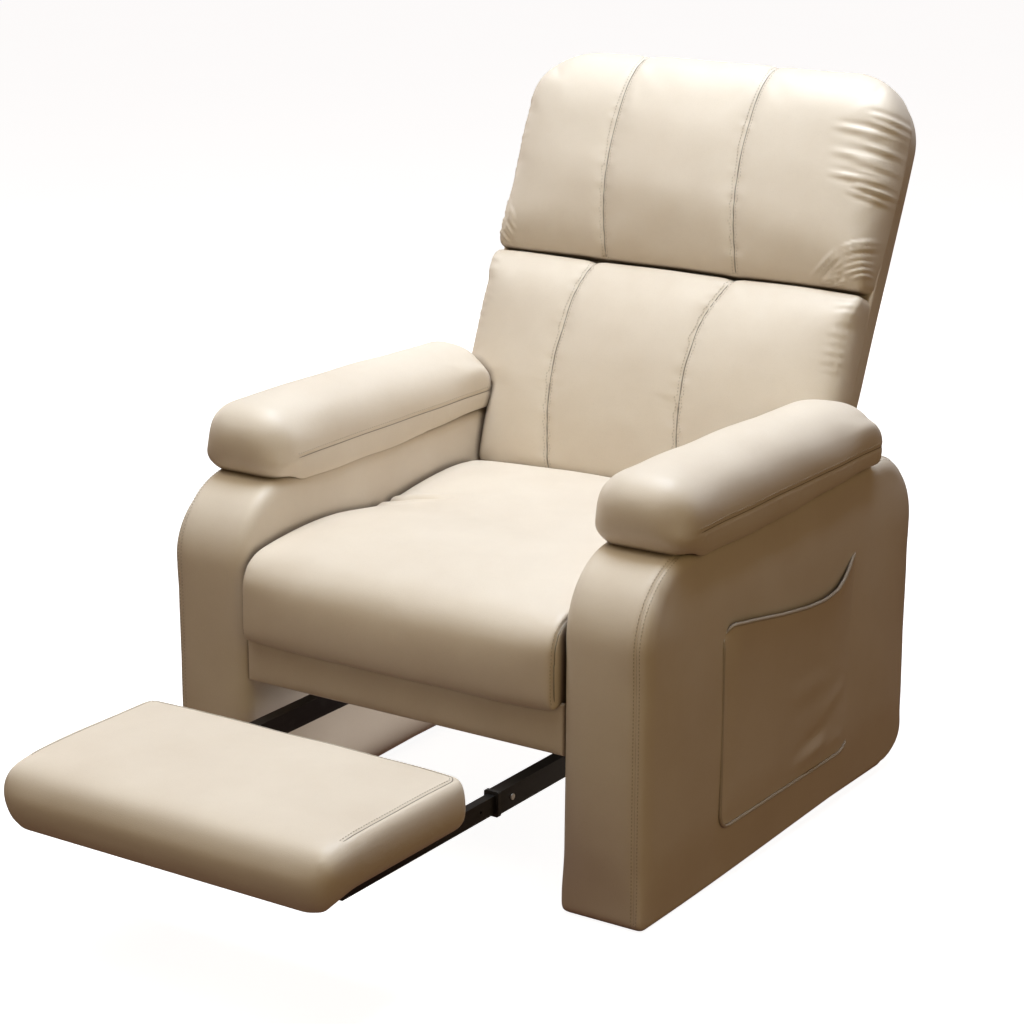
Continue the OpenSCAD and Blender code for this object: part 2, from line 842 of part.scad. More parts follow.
arm_frame(left);  // arm_frame_left
arm_frame(right);  // arm_frame_right
arm_cover(left);  // arm_cover_left
arm_cover(right);  // arm_cover_right
arm_pad_board(left);  // arm_pad_board_left
arm_pad_board(right);  // arm_pad_board_right
arm_pad(left);  // arm_pad_left
arm_pad(right);  // arm_pad_right
side_pocket();
floor_glides();
front_apron();
seat_rail_front();
seat_rail_rear();
seat_rail_side(left);  // seat_rail_left
seat_rail_side(right);  // seat_rail_right
seat_springs();
dust_cover();
seat_cushion();
seat_foam();
rear_stretcher();
rear_apron();
frame_bolts();
rail_sleeve(left);  // rail_sleeve_left
rail_sleeve(right);  // rail_sleeve_right
rail_guide(left);  // rail_guide_left
rail_guide(right);  // rail_guide_right
sleeve_brackets();
sleeve_screws();
hinge_plate_seat(left);  // hinge_plate_seat_left
hinge_plate_seat(right);  // hinge_plate_seat_right
pivot_bolts();
pawl_pins();
hinge_screws_seat();
back_stile(left);  // back_stile_left
back_stile(right);  // back_stile_right
back_post(left);  // back_post_left
back_post(right);  // back_post_right
back_rail_top();
back_rail_middle();
back_rail_bottom();
back_webbing();
back_shell();
lumbar_cushion();
lumbar_foam();
head_cushion();
head_foam();
hinge_plate_back(left);  // hinge_plate_back_left
hinge_plate_back(right);  // hinge_plate_back_right
hinge_screws_back();
footrest_cushion();
footrest_foam();
footrest_board();
rail_tube(left);  // rail_tube_left
rail_tube(right);  // rail_tube_right
footrest_cross_bars();
rail_end_caps();
stop_blocks();
mounting_plates();
pawl(left);  // pawl_left
pawl(right);  // pawl_right
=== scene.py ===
"""The looks of a recliner armchair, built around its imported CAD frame.

Shapes are worked out in millimetres with y = 0 at the fronts of the arms. The back's pieces are worked out
in the back's own frame: x across, n backwards through the back and s up its slope.
"""

import math

import bpy
import numpy as np
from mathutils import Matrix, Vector
from mathutils.bvhtree import BVHTree


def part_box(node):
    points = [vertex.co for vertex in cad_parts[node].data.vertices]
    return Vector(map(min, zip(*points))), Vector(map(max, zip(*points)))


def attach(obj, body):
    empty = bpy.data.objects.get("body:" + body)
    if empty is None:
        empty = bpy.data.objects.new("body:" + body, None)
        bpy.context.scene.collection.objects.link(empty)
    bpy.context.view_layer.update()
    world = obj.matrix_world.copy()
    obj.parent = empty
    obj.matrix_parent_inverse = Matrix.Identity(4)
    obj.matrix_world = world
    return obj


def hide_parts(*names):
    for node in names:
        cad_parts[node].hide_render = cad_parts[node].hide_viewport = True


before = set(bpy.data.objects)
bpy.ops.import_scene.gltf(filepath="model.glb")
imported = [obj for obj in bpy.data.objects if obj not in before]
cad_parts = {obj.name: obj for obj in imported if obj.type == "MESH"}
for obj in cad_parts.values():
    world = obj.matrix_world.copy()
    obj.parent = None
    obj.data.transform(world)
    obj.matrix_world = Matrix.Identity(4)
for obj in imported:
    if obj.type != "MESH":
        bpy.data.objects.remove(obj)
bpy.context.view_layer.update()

# Camera, at the photo's angle
CAMERA_AZIMUTH = math.radians(33.88)
CAMERA_ELEVATION = math.radians(16.4)
CAMERA_TARGET = Vector((0.1808, -0.1892, 0.5247))
CAMERA_DISTANCE = 3.413
CAMERA_LENS = 96.7

camera = bpy.data.objects.new("camera", bpy.data.cameras.new("camera"))
bpy.context.scene.collection.objects.link(camera)
away = Vector((math.sin(CAMERA_AZIMUTH) * math.cos(CAMERA_ELEVATION),
               -math.cos(CAMERA_AZIMUTH) * math.cos(CAMERA_ELEVATION), math.sin(CAMERA_ELEVATION)))
camera.location = CAMERA_TARGET + away * CAMERA_DISTANCE
camera.rotation_mode = "QUATERNION"
camera.rotation_quaternion = (-away).to_track_quat("-Z", "Y")
camera.data.lens = CAMERA_LENS
camera.data.sensor_width = 36.0
camera.data.clip_start, camera.data.clip_end = 0.05, 60.0
bpy.context.scene.camera = camera

# Frames
ARM_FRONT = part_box("arm_cover_left")[0].y
BACK_ORIGIN = np.array([0.0, 555.0, 402.0])
BACK_TILT = math.radians(24.0)


def node_box(node):
    """A CAD node's lowest and highest corner, in millimetres from the fronts of the arms."""
    low, high = (np.array(c, float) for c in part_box(node))
    shift = np.array([0.0, ARM_FRONT, 0.0])
    return (low - shift) * 1000.0, (high - shift) * 1000.0


def to_chair(points, body):
    """From a body's own frame to the chair's. Only the back has a frame of its own."""
    if body != "back":
        return points
    c, s = math.cos(BACK_TILT), math.sin(BACK_TILT)
    x, n, up = points.T
    return np.stack([x, n * c + up * s, up * c - n * s], 1) + BACK_ORIGIN


# Small mathematics


def smooth(low, high, value):
    """0 below low, 1 above high, and a smooth step between them."""
    t = np.clip((value - low) / (high - low), 0.0, 1.0)
    return t * t * (3.0 - 2.0 * t)


def hump(value, middle, width):
    return np.exp(-((value - middle) / width) ** 2)


def curve_through(knots):
    """A smooth function through a list of (place, value)."""
    places, values = np.array(knots, float).T
    fine = np.linspace(places[0], places[-1], 400)
    line = np.interp(fine, places, values)
    reach = 24
    padded = np.concatenate([2 * line[0] - line[reach:0:-1], line, 2 * line[-1] - line[-2:-reach - 2:-1]])
    soft = np.convolve(padded, np.hanning(2 * reach + 1) / np.hanning(2 * reach + 1).sum(), "valid")
    return lambda value: np.interp(value, fine, soft)


def wobble(points, size, height, seed):
    """Soft unevenness: a few crossed waves about `size` long."""
    draw = np.random.default_rng(seed)
    total = np.zeros(len(points))
    for _ in range(6):
        direction = draw.normal(size=3)
        direction /= np.linalg.norm(direction)
        length = size * draw.uniform(0.7, 1.5)
        total += np.sin(points @ direction * 2 * math.pi / length + draw.uniform(0, 2 * math.pi))
    return total * height / 6 ** 0.5


def crease(flat, start, end, width, height):
    """A straight fold on a flattened surface, fading at both ends."""
    start, end = np.array(start, float), np.array(end, float)
    along = end - start
    length = np.linalg.norm(along)
    along /= length
    rel = flat - start
    t = rel @ along / length
    off = rel @ np.array([-along[1], along[0]])
    fade = smooth(-0.05, 0.25, t) * (1 - smooth(0.55, 1.05, t))
    swell_beside = 0.55 * hump(np.abs(off), 1.9 * width, width)
    return height * fade * (hump(off, 0.0, width) - swell_beside)


# Meshes


def lines(low, high, step, soft_low, soft_high):
    """Places of grid lines from low to high, closer together over the rounded ends."""
    fine = step * 0.62
    a = np.linspace(low, low + soft_low, max(3, math.ceil(soft_low / fine)) + 1)
    b = np.linspace(low + soft_low, high - soft_high,
                    max(1, math.ceil((high - low - soft_low - soft_high) / step)) + 1)
    c = np.linspace(high - soft_high, high, max(3, math.ceil(soft_high / fine)) + 1)
    return np.concatenate([a[:-1], b, c[1:]])


def box_grid(grid):
    """The closed surface of a box as quads, with the grid's lines along x, y and z."""
    count = [len(g) - 1 for g in grid]
    found, quads = {}, []
    for axis in range(3):
        a, b = (axis + 1) % 3, (axis + 2) % 3
        for end in (0, count[axis]):
            for i in range(count[a]):
                for j in range(count[b]):
                    quad = []
                    for di, dj in ((0, 0), (1, 0), (1, 1), (0, 1)):
                        key = [0, 0, 0]
                        key[axis], key[a], key[b] = end, i + di, j + dj
                        quad.append(found.setdefault(tuple(key), len(found)))
                    quads.append(quad if end else quad[::-1])
    keys = np.array(list(found))
    return np.stack([grid[k][keys[:, k]] for k in range(3)], 1), np.array(quads)


def soften(points, low, high, axis, edges, corners):
    """Rounds a box. `corners` are the radii of its outline across `axis`, and `edges` those where the
    outline meets the two end faces."""
    a, b = [k for k in range(3) if k != axis]
    half = (high - low) / 2
    q = points - (low + high) / 2
    inset = np.minimum(half[a] - np.abs(q[:, a]), half[b] - np.abs(q[:, b]))
    for sign, edge in zip((-1, 1), edges):
        edge = np.broadcast_to(np.asarray(edge, float), inset.shape)
        depth = half[axis] - sign * q[:, axis]
        zone = (depth < edge) & (inset < edge)
        e = edge[zone]
        out, along = 1 - inset[zone] / e, 1 - depth[zone] / e
        ratio = np.maximum(out, along) / np.maximum(np.hypot(out, along), 1e-9)
        new_inset = e * (1 - out * ratio)
        for k in (a, b):
            q[zone, k] *= (half[k] - new_inset) / (half[k] - inset[zone])
        q[zone, axis] = sign * (half[axis] - e * (1 - along * ratio))
    for (sa, sb), radius in zip(((-1, -1), (1, -1), (1, 1), (-1, 1)), corners):
        p, r = sa * q[:, a] - (half[a] - radius), sb * q[:, b] - (half[b] - radius)
        zone = (p > 0) & (r > 0)
        ratio = np.maximum(p, r)[zone] / np.hypot(p, r)[zone]
        q[zone, a] = sa * (half[a] - radius + p[zone] * ratio)
        q[zone, b] = sb * (half[b] - radius + r[zone] * ratio)
    return q + (low + high) / 2


def soft_box(low, high, axis, edges, corners, step=7.0, soft=(24.0, 24.0)):
    low, high = np.array(low, float), np.array(high, float)
    soft = min(soft[0], (high - low).min() / 3), min(soft[1], (high - low).min() / 3)
    points, quads = box_grid([lines(low[k], high[k], step, *soft) for k in range(3)])
    if callable(edges):
        edges = edges(points)
    return soften(points, low, high, axis, edges, corners), quads


def normals(points, quads):
    corner = points[quads]
    face = np.cross(corner[:, 2] - corner[:, 0], corner[:, 3] - corner[:, 1])
    total = np.zeros_like(points)
    for k in range(quads.shape[1]):
        np.add.at(total, quads[:, k], face)
    return total / np.maximum(np.linalg.norm(total, axis=1), 1e-12)[:, None]


def mesh_object(name, points, quads):
    mesh = bpy.data.meshes.new(name)
    mesh.from_pydata((points / 1000.0).tolist(), [], quads.tolist())
    obj = bpy.data.objects.new(name, mesh)
    bpy.context.scene.collection.objects.link(obj)
    return obj


def coordinates(mesh):
    flat = np.empty(len(mesh.vertices) * 3)
    mesh.vertices.foreach_get("co", flat)
    return flat.reshape(-1, 3) * 1000.0


def applied(obj):
    """The object's mesh with its modifiers, as points and quads. The object is removed."""
    graph = bpy.context.evaluated_depsgraph_get()
    mesh = bpy.data.meshes.new_from_object(obj.evaluated_get(graph))
    points = coordinates(mesh)
    quads = np.empty(len(mesh.polygons) * 4, int)
    mesh.polygons.foreach_get("vertices", quads)
    bpy.data.objects.remove(obj)
    return points, quads.reshape(-1, 4)


def refined(points, quads):
    obj = mesh_object("refining", points, quads)
    subsurf = obj.modifiers.new("Subdivision", "SUBSURF")
    subsurf.levels = subsurf.render_levels = 1
    return applied(obj)


CLOTH_FRAMES = 20


def inflated(points, quads, held, cap, pressure, slack=0.0):
    """Blows a sewn cover up from inside, as cloth. The held points stay, the rest move by up to cap."""
    obj = mesh_object("inflating", points, quads)
    group = obj.vertex_groups.new(name="held")
    group.add(np.nonzero(held)[0].tolist(), 1.0, "REPLACE")
    cloth = obj.modifiers.new("Cloth", "CLOTH")
    settings = cloth.settings
    settings.quality = 5
    settings.mass = 0.25
    settings.tension_stiffness = settings.compression_stiffness = 12.0
    settings.shear_stiffness = 6.0
    settings.bending_stiffness = 0.6
    settings.use_pressure = True
    settings.uniform_pressure_force = pressure
    settings.shrink_min = -slack
    settings.vertex_group_mass = "held"
    settings.effector_weights.gravity = 0.0
    cloth.collision_settings.use_collision = False
    scene = bpy.context.scene
    for step in range(1, CLOTH_FRAMES + 1):
        scene.frame_set(step)
    blown, _ = applied(obj)
    scene.frame_set(1)
    move = blown - points
    size = np.linalg.norm(move, axis=1)
    move *= min(1.0, cap / max(np.percentile(size, 97), 1e-6))
    size = np.linalg.norm(move, axis=1)
    return points + move * (np.minimum(1.0, cap * 1.15 / np.maximum(size, 1e-6)))[:, None]


def relaxed(points, quads, held, rounds):
    """Evens out small lumps, away from the held points."""
    pairs = np.vstack([quads[:, [k, (k + 1) % 4]] for k in range(4)])
    count = np.bincount(pairs[:, 0], minlength=len(points)) + np.bincount(pairs[:, 1], minlength=len(points))
    points = points.copy()
    for _ in range(rounds):
        total = np.zeros_like(points)
        np.add.at(total, pairs[:, 0], points[pairs[:, 1]])
        np.add.at(total, pairs[:, 1], points[pairs[:, 0]])
        points += np.where(held[:, None], 0.0, (total / count[:, None] - points) * 0.5)
    return points


def finished(points, quads):
    """The final mesh of a cushion, and the outward directions at its points."""
    points, quads = refined(points, quads)
    return points, quads, normals(points, quads)


def centred(value, low, high):
    """-1 at low, 0 in the middle and 1 at high."""
    return (value - (low + high) / 2) / ((high - low) / 2)


def laid_on(tree, starts, directions, reach=120.0):
    """Drops points onto a surface. Returns their places and the surface's normals there."""
    places, ups = [], []
    for start, direction in zip(starts, directions):
        direction = Vector(direction).normalized()
        hit, normal, _, _ = tree.ray_cast(Vector(start) - direction * reach, direction, 2 * reach)
        if hit is None:
            hit, normal, _, _ = tree.find_nearest(Vector(start))
        places.append(hit)
        ups.append(normal if normal.dot(direction) < 0 else -normal)
    return np.array([list(p) for p in places]), np.array([list(u) for u in ups])


def arc(centre, radius, start, count, turn=90.0):
    """Points on a circle's arc, from the angle start, in degrees."""
    angle = np.radians(start + turn * np.arange(count + 1) / count)
    return (np.array(centre) + radius * np.stack([np.cos(angle), np.sin(angle)], 1)).tolist()


def alike(direction, path):
    """The same direction for every point of a path."""
    return np.tile(direction, (len(path), 1))


def even_path(path, spacing):
    """A path resampled at even spacing."""
    path = np.asarray(path, float)
    length = np.concatenate([[0], np.cumsum(np.linalg.norm(np.diff(path, axis=0), axis=1))])
    count = max(2, int(round(length[-1] / spacing)))
    where = np.linspace(0, length[-1], count + 1)
    return np.stack([np.interp(where, length, path[:, k]) for k in range(path.shape[1])], 1)


def path_frames(path, ups):
    """The directions along, up from and across a path on a surface."""
    tangent = np.gradient(path, axis=0)
    tangent /= np.maximum(np.linalg.norm(tangent, axis=1), 1e-9)[:, None]
    ups = ups - (ups * tangent).sum(1)[:, None] * tangent
    ups /= np.maximum(np.linalg.norm(ups, axis=1), 1e-9)[:, None]
    return tangent, ups, np.cross(tangent, ups)


def tube(path, ups, radius, sides, taper):
    """A round cord along a path. It thins out over `taper` points at its ends."""
    _, up, side = path_frames(path, ups)
    ends = np.minimum(np.arange(len(path)), np.arange(len(path))[::-1])
    radii = radius * np.sqrt(np.clip((ends + 0.35) / (taper + 0.35), 0, 1))
    angle = np.arange(sides) * 2 * math.pi / sides
    ring = (np.cos(angle)[None, :, None] * side[:, None, :] + np.sin(angle)[None, :, None] * up[:, None, :])
    points = (path[:, None, :] + ring * radii[:, None, None]).reshape(-1, 3)
    count = len(path)
    i, j = np.meshgrid(np.arange(count - 1), np.arange(sides), indexing="ij")
    after, turn = i + 1, (j + 1) % sides
    quads = np.stack([i * sides + j, after * sides + j, after * sides + turn, i * sides + turn], -1)
    quads = quads.reshape(-1, 4)
    points = np.vstack([points, path[0], path[-1]])
    first, last, base = count * sides, count * sides + 1, (count - 1) * sides
    fans = []
    for k in range(0, sides, 2):
        fans.append([first, k, k + 1, (k + 2) % sides])
        fans.append([last, base + (k + 2) % sides, base + k + 1, base + k])
    return points, np.vstack([quads, fans])


STITCH_LENGTH, STITCH_PITCH, STITCH_RADIUS = 3.2, 5.0, 0.55


def stitch_row(path, ups):
    """Short threads lying along a path on a surface: each has five rings of six points, and closed ends."""
    path = even_path(np.hstack([path, ups]), STITCH_PITCH / 2)
    places, ups = path[:, :3], path[:, 3:]
    tangent, up, side = path_frames(places, ups)
    t = np.array([-1.0, -0.72, 0.0, 0.72, 1.0]) * STITCH_LENGTH / 2
    width = np.array([0.35, 0.85, 1.0, 0.85, 0.35]) * STITCH_RADIUS
    sink = np.array([-0.55, 0.15, 0.4, 0.15, -0.55]) * STITCH_RADIUS
    template, faces = [], []
    for k in range(5):
        for a in np.arange(6) * math.pi / 3:
            template.append([t[k], math.sin(a) * width[k] + sink[k], math.cos(a) * width[k]])
    for k in range(4):
        for j in range(6):
            faces.append([k * 6 + j, k * 6 + (j + 1) % 6, (k + 1) * 6 + (j + 1) % 6, (k + 1) * 6 + j])
    faces += [[3, 2, 1, 0], [5, 4, 3, 0], [24, 25, 26, 27], [24, 27, 28, 29]]
    template, faces = np.array(template), np.array(faces)
    points, quads = [], []
    for n, k in enumerate(range(0, len(places), 2)):
        basis = np.stack([tangent[k], up[k], side[k]])
        points.append(places[k] + template @ basis)
        quads.append(faces + n * len(template))
    return np.vstack(points), np.vstack(quads)


def joined(parts):
    points, quads, count = [], [], 0
    for p, q in parts:
        points.append(p)
        quads.append(q + count)
        count += len(p)
    return np.vstack(points), np.vstack(quads)



def piece(name, points, quads, material, body):
    """Puts a finished mesh, in chair coordinates, into the scene."""
    obj = mesh_object(name, points + [0.0, ARM_FRONT * 1000.0, 0.0], quads)
    obj.data.polygons.foreach_set("use_smooth", np.ones(len(quads), bool))
    obj.data.materials.append(material)
    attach(obj, body)
    return obj


def cushion(name, points, quads, body, replaces, fill):
    """A padded piece in leather, which stands for the CAD nodes it replaces. Gives its surface to sew on."""
    obj = piece(name, to_chair(points, body), quads, leather, body)
    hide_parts(*replaces)
    return BVHTree.FromPolygons(points.tolist(), quads.tolist())


def cushion_pair(name, points, quads, replaces, fill):
    """The right-hand cushion, and its mirror image on the left. Gives each one's side and surface."""
    for side, word in ((1, "right"), (-1, "left")):
        sided, faces = points * np.array([side, 1.0, 1.0]), quads[:, ::side]
        yield side, cushion(f"{name}_{word}", sided, faces, "chair", (f"{replaces}_{word}",), fill)


# Materials


def shade(colour, factor, plus=0.0):
    """A darker or lighter colour."""
    return tuple(min(1.0, c * factor + plus) for c in colour)


class Nodes:
    """A short way to write a node tree."""

    def __init__(self, name):
        self.material = bpy.data.materials.new(name)
        self.material.use_nodes = True
        self.tree = self.material.node_tree
        self.shader = self.tree.nodes["Principled BSDF"]
        self.object = self.add("ShaderNodeTexCoord").outputs["Object"]

    def add(self, kind, inputs=None, **settings):
        node = self.tree.nodes.new(kind)
        for key, value in settings.items():
            setattr(node, key, value)
        for key, value in (inputs or {}).items():
            self.set(node.inputs[key], value)
        return node

    def set(self, socket, value):
        if isinstance(value, bpy.types.NodeSocket):
            self.tree.links.new(value, socket)
        else:
            socket.default_value = value

    def noise(self, scale, detail=3.0, rough=0.55, vector=None, distortion=0.0):
        inputs = {"Vector": vector or self.object, "Scale": scale, "Detail": detail, "Roughness": rough,
                  "Distortion": distortion}
        return self.add("ShaderNodeTexNoise", inputs).outputs["Fac"]

    def cells(self, scale, feature="F1", random=1.0):
        inputs = {"Vector": self.object, "Scale": scale, "Randomness": random}
        return self.add("ShaderNodeTexVoronoi", inputs, feature=feature).outputs["Distance"]

    def bands(self, scale, direction, distortion=0.0):
        inputs = {"Vector": self.object, "Scale": scale, "Distortion": distortion}
        return self.add("ShaderNodeTexWave", inputs, bands_direction=direction).outputs["Fac"]

    def stretched(self, along):
        """Coordinates that change slowly along y."""
        inputs = {"Vector": self.object, "Scale": (1.0, along, 1.0)}
        return self.add("ShaderNodeMapping", inputs).outputs["Vector"]

    def ramp(self, value, *stops):
        """Colours or grey levels at places along value."""
        node = self.add("ShaderNodeValToRGB", {"Fac": value})
        elements = node.color_ramp.elements
        while len(elements) < len(stops):
            elements.new(0.5)
        for element, (place, colour) in zip(elements, stops):
            element.position = place
            element.color = (*colour, 1.0) if hasattr(colour, "__len__") else (colour, colour, colour, 1.0)
        return node.outputs["Color"]

    def over(self, tone, value, low, high, colour):
        """Lays a colour over a tone, by the amounts that a ramp from low to high gives for value."""
        return self.mix(self.ramp(value, low, high), tone, colour)

    def mix(self, factor, a, b):
        node = self.add("ShaderNodeMix", data_type="RGBA")
        for index, value in ((0, factor), (6, a), (7, b)):
            if hasattr(value, "__len__") and len(value) == 3:
                value = (*value, 1.0)
            self.set(node.inputs[index], value)
        return node.outputs[2]

    def maths(self, operation, a, b=0.0, c=0.0):
        node = self.add("ShaderNodeMath", operation=operation)
        for index, value in enumerate((a, b, c)):
            self.set(node.inputs[index], value)
        return node.outputs[0]

    def bump(self, height, strength, distance, below=None):
        node = self.add("ShaderNodeBump", {"Height": height, "Strength": strength, "Distance": distance})
        if below is not None:
            self.set(node.inputs["Normal"], below)
        return node.outputs["Normal"]

    def done(self, colour, roughness, normal=None, **fixed):
        self.set(self.shader.inputs["Base Color"], colour)
        self.set(self.shader.inputs["Roughness"], roughness)
        if normal is not None:
            self.set(self.shader.inputs["Normal"], normal)
        for name, value in fixed.items():
            self.shader.inputs[name.replace("_", " ")].default_value = value
        return self.material


# Painted shade: the leather's colour is darkened by these factors where ambient occlusion finds creases,
# joints and overhangs.
PAINTED_CREASE_SHADE = (0.20, 0.15, 0.11)      # how much darker the depth of a crease is, per channel


def faux_leather(name, light, deep, gloss=0.44):
    """Smooth coated fabric: a fine pebble grain, soft blotches, faint pull lines and rubbed high spots.
    Painted shade darkens its creases, joints and the places under overhangs.
    """
    m = Nodes(name)
    blotch = m.noise(5.5, 4.0, 0.6)
    cloud = m.noise(19.0, 3.0, 0.5)
    cells = m.cells(620.0, "DISTANCE_TO_EDGE", 0.9)
    pores = m.cells(1150.0)
    pull = m.noise(60.0, 5.0, 0.62, distortion=0.8)
    tone = m.ramp(blotch, (0.32, deep), (0.62, light))
    tone = m.over(tone, cloud, (0.35, 0.0), (0.75, 0.22), shade(light, 0.93))
    groove = m.ramp(cells, (0.0, 0.14), (0.09, 0.0))
    tone = m.mix(groove, tone, shade(deep, 0.62))
    worn = m.add("ShaderNodeNewGeometry").outputs["Pointiness"]
    tone = m.over(tone, worn, (0.5, 0.0), (0.56, 0.16), shade(light, 1.12))
    # Painted shade: ambient occlusion darkens the colour in creases, joints and under overhangs, where shade
    # falls.
    painted_shade_occlusion = m.add("ShaderNodeAmbientOcclusion", {"Distance": 0.013}, samples=6).outputs["AO"]
    tone = m.over(tone, painted_shade_occlusion, (0.12, 0.86), (0.80, 0.0), tuple(c * s for c, s in zip(deep, PAINTED_CREASE_SHADE)))
    rough = m.maths("MULTIPLY_ADD", cloud, 0.12, gloss - 0.06)
    rough = m.maths("MULTIPLY_ADD", pores, 0.06, rough)
    grain = m.bump(m.ramp(cells, (0.0, 0.0), (0.16, 1.0)), 0.16, 0.00035)
    grain = m.bump(pull, 0.10, 0.0012, grain)
    grain = m.bump(cloud, 0.12, 0.004, grain)
    return m.done(tone, rough, grain, Specular_IOR_Level=0.5, Sheen_Weight=0.06, Sheen_Roughness=0.5,
                  Coat_Weight=0.06, Coat_Roughness=0.32)


def thread(name, colour, deep):
    m = Nodes(name)
    twist = m.bands(420.0, "DIAGONAL", 1.5)
    tone = m.over(deep, twist, (0.2, 0.0), (0.8, 1.0), colour)
    tone = m.over(tone, m.noise(40.0), (0.4, 0.0), (0.7, 0.3), shade(colour, 0.8))
    return m.done(tone, m.maths("MULTIPLY_ADD", twist, 0.1, 0.55), m.bump(twist, 0.3, 0.0002),
                  Sheen_Weight=0.2)


def metal(name, colour, roughness, metallic, streak):
    """Coated or plated steel: fine orange peel, faint streaks along the part, rubbed patches."""
    m = Nodes(name)
    streaks = m.noise(260.0, 4.0, 0.6, m.stretched(0.04))
    peel = m.noise(900.0, 2.0, 0.5)
    rubbed = m.noise(26.0, 4.0, 0.65)
    tone = m.mix(m.ramp(streaks, (0.35, 0.0), (0.7, streak)), colour, shade(colour, 1.5, 0.01))
    tone = m.mix(m.ramp(rubbed, (0.58, 0.0), (0.75, streak)), tone, shade(colour, 1.9, 0.02))
    rough = m.maths("MULTIPLY_ADD", rubbed, 0.16, roughness - 0.08)
    normal = m.bump(peel, 0.12, 0.0001)
    normal = m.bump(streaks, 0.08, 0.0002, normal)
    return m.done(tone, rough, normal, Metallic=metallic)


def moulded(name, colour):
    m = Nodes(name)
    spark = m.cells(1400.0)
    cloud = m.noise(30.0, 3.0, 0.5)
    tone = m.over(colour, cloud, (0.3, 0.0), (0.75, 0.5), shade(colour, 1.5, 0.004))
    return m.done(tone, m.maths("MULTIPLY_ADD", cloud, 0.14, 0.42), m.bump(spark, 0.2, 0.00015))


def wood(name, colour, deep):
    m = Nodes(name)
    along = m.stretched(0.12)
    figure = m.noise(34.0, 6.0, 0.62, along, 0.6)
    fibre = m.noise(420.0, 3.0, 0.6, along)
    tone = m.ramp(figure, (0.3, deep), (0.7, colour))
    tone = m.over(tone, fibre, (0.4, 0.0), (0.8, 0.35), shade(deep, 0.7))
    return m.done(tone, m.maths("MULTIPLY_ADD", fibre, 0.15, 0.55), m.bump(fibre, 0.25, 0.0004))


def open_foam(name, colour):
    m = Nodes(name)
    cell = m.cells(900.0)
    tone = m.over(colour, cell, (0.1, 0.6), (0.5, 0.0), shade(colour, 0.6))
    return m.done(tone, m.maths("MULTIPLY_ADD", cell, 0.1, 0.85), m.bump(cell, 0.6, 0.0006))


def woven(name, colour):
    m = Nodes(name)
    weave = m.maths("MULTIPLY", m.bands(520.0, "X"), m.bands(520.0, "Z"))
    fuzz = m.noise(80.0, 4.0, 0.6)
    tone = m.mix(m.ramp(weave, (0.1, 0.0), (0.7, 0.8)), shade(colour, 0.5), colour)
    tone = m.over(tone, fuzz, (0.4, 0.0), (0.8, 0.4), shade(colour, 0.7))
    rough = m.maths("MULTIPLY_ADD", fuzz, 0.1, 0.8)
    return m.done(tone, rough, m.bump(weave, 0.4, 0.0004), Sheen_Weight=0.2)


LEATHER_LIGHT = (0.735, 0.655, 0.555)
LEATHER_DEEP = (0.685, 0.600, 0.500)
leather = faux_leather("cream_faux_leather", LEATHER_LIGHT, LEATHER_DEEP)
# Painted shade: the piping is a darker copy of the cream leather, darkened to stand for the shade along its
# edges.
piping_leather_painted_shade = faux_leather("piping_faux_leather_painted_shade", shade(LEATHER_LIGHT, 0.72),
                              shade(LEATHER_DEEP, 0.62), 0.40)
seam_thread = thread("seam_thread", (0.30, 0.26, 0.21), (0.20, 0.17, 0.13))
top_thread = thread("top_thread", (0.56, 0.49, 0.40), (0.42, 0.36, 0.29))
NODE_MATERIALS = {
    "black_steel": metal("satin_black_steel", (0.012, 0.012, 0.013), 0.36, 0.35, 0.35),
    "zinc": metal("bright_zinc", (0.80, 0.81, 0.83), 0.34, 0.6, 0.25),
    "black_plastic": moulded("moulded_black_plastic", (0.016, 0.016, 0.017)),
    "timber": wood("pine", (0.50, 0.33, 0.17), (0.36, 0.21, 0.10)),
    "foam": open_foam("cut_foam", (0.80, 0.70, 0.42)),
    "webbing": woven("woven_webbing", (0.075, 0.062, 0.048)),
    "cream_leather": leather,
}
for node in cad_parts.values():
    for index, material in enumerate(node.data.materials):
        node.data.materials[index] = NODE_MATERIALS[material.name]

SEWN = {}


def sew(body, kind, points, quads):
    """Collects threads and piping, to make one piece of each kind per body."""
    SEWN.setdefault((body, kind), []).append((to_chair(points, body), quads))


SEAM_STEP = 4.0


def seam_line(body, tree, starts, directions, sink, rows, thread_radius):
    """A sewn seam on a surface: the thread in its joint, and rows of stitches beside it."""
    starts = even_path(np.hstack([starts, directions]), SEAM_STEP)
    path, ups = laid_on(tree, starts[:, :3], starts[:, 3:])
    sew(body, "seam", *tube(path - ups * sink, ups, thread_radius, 8, 3))
    side = path_frames(path, ups)[2]
    for offset in rows:
        for sign in (-1, 1) if offset > 0 else (1,):
            beside, lift = laid_on(tree, path + side * (offset * sign), -ups, 20.0)
            sew(body, "stitch", *stitch_row(beside, lift))


# Arms

arm_low, arm_high = node_box("arm_cover_right")
ARM_FRONT_RADIUS, ARM_REAR_RADIUS, ARM_REAR_FOOT = 110.0, 100.0, 60.0
ARM_BELLY = 4.5
ARM_TOE_Z = 0.6
ARM_SEAM_X = arm_high[0] - 11.0


def arm_edges(p):
    foot = smooth(8.0, 90.0, p[:, 2])
    return 8.0 + 10.0 * foot, 8.0 + 14.0 * foot


def arm_outline():
    """The arm's side view from its front foot, over the top, to its rear foot."""
    _, rear, top = arm_high
    front_r, rear_r = ARM_FRONT_RADIUS, ARM_REAR_RADIUS
    return ([[0.0, arm_low[2]]] + arc((front_r, top - front_r), front_r, 180, 28, -90)
            + arc((rear - rear_r, top - rear_r), rear_r, 90, 28, -90)
            + [[rear, arm_low[2] + ARM_REAR_FOOT + 20]])


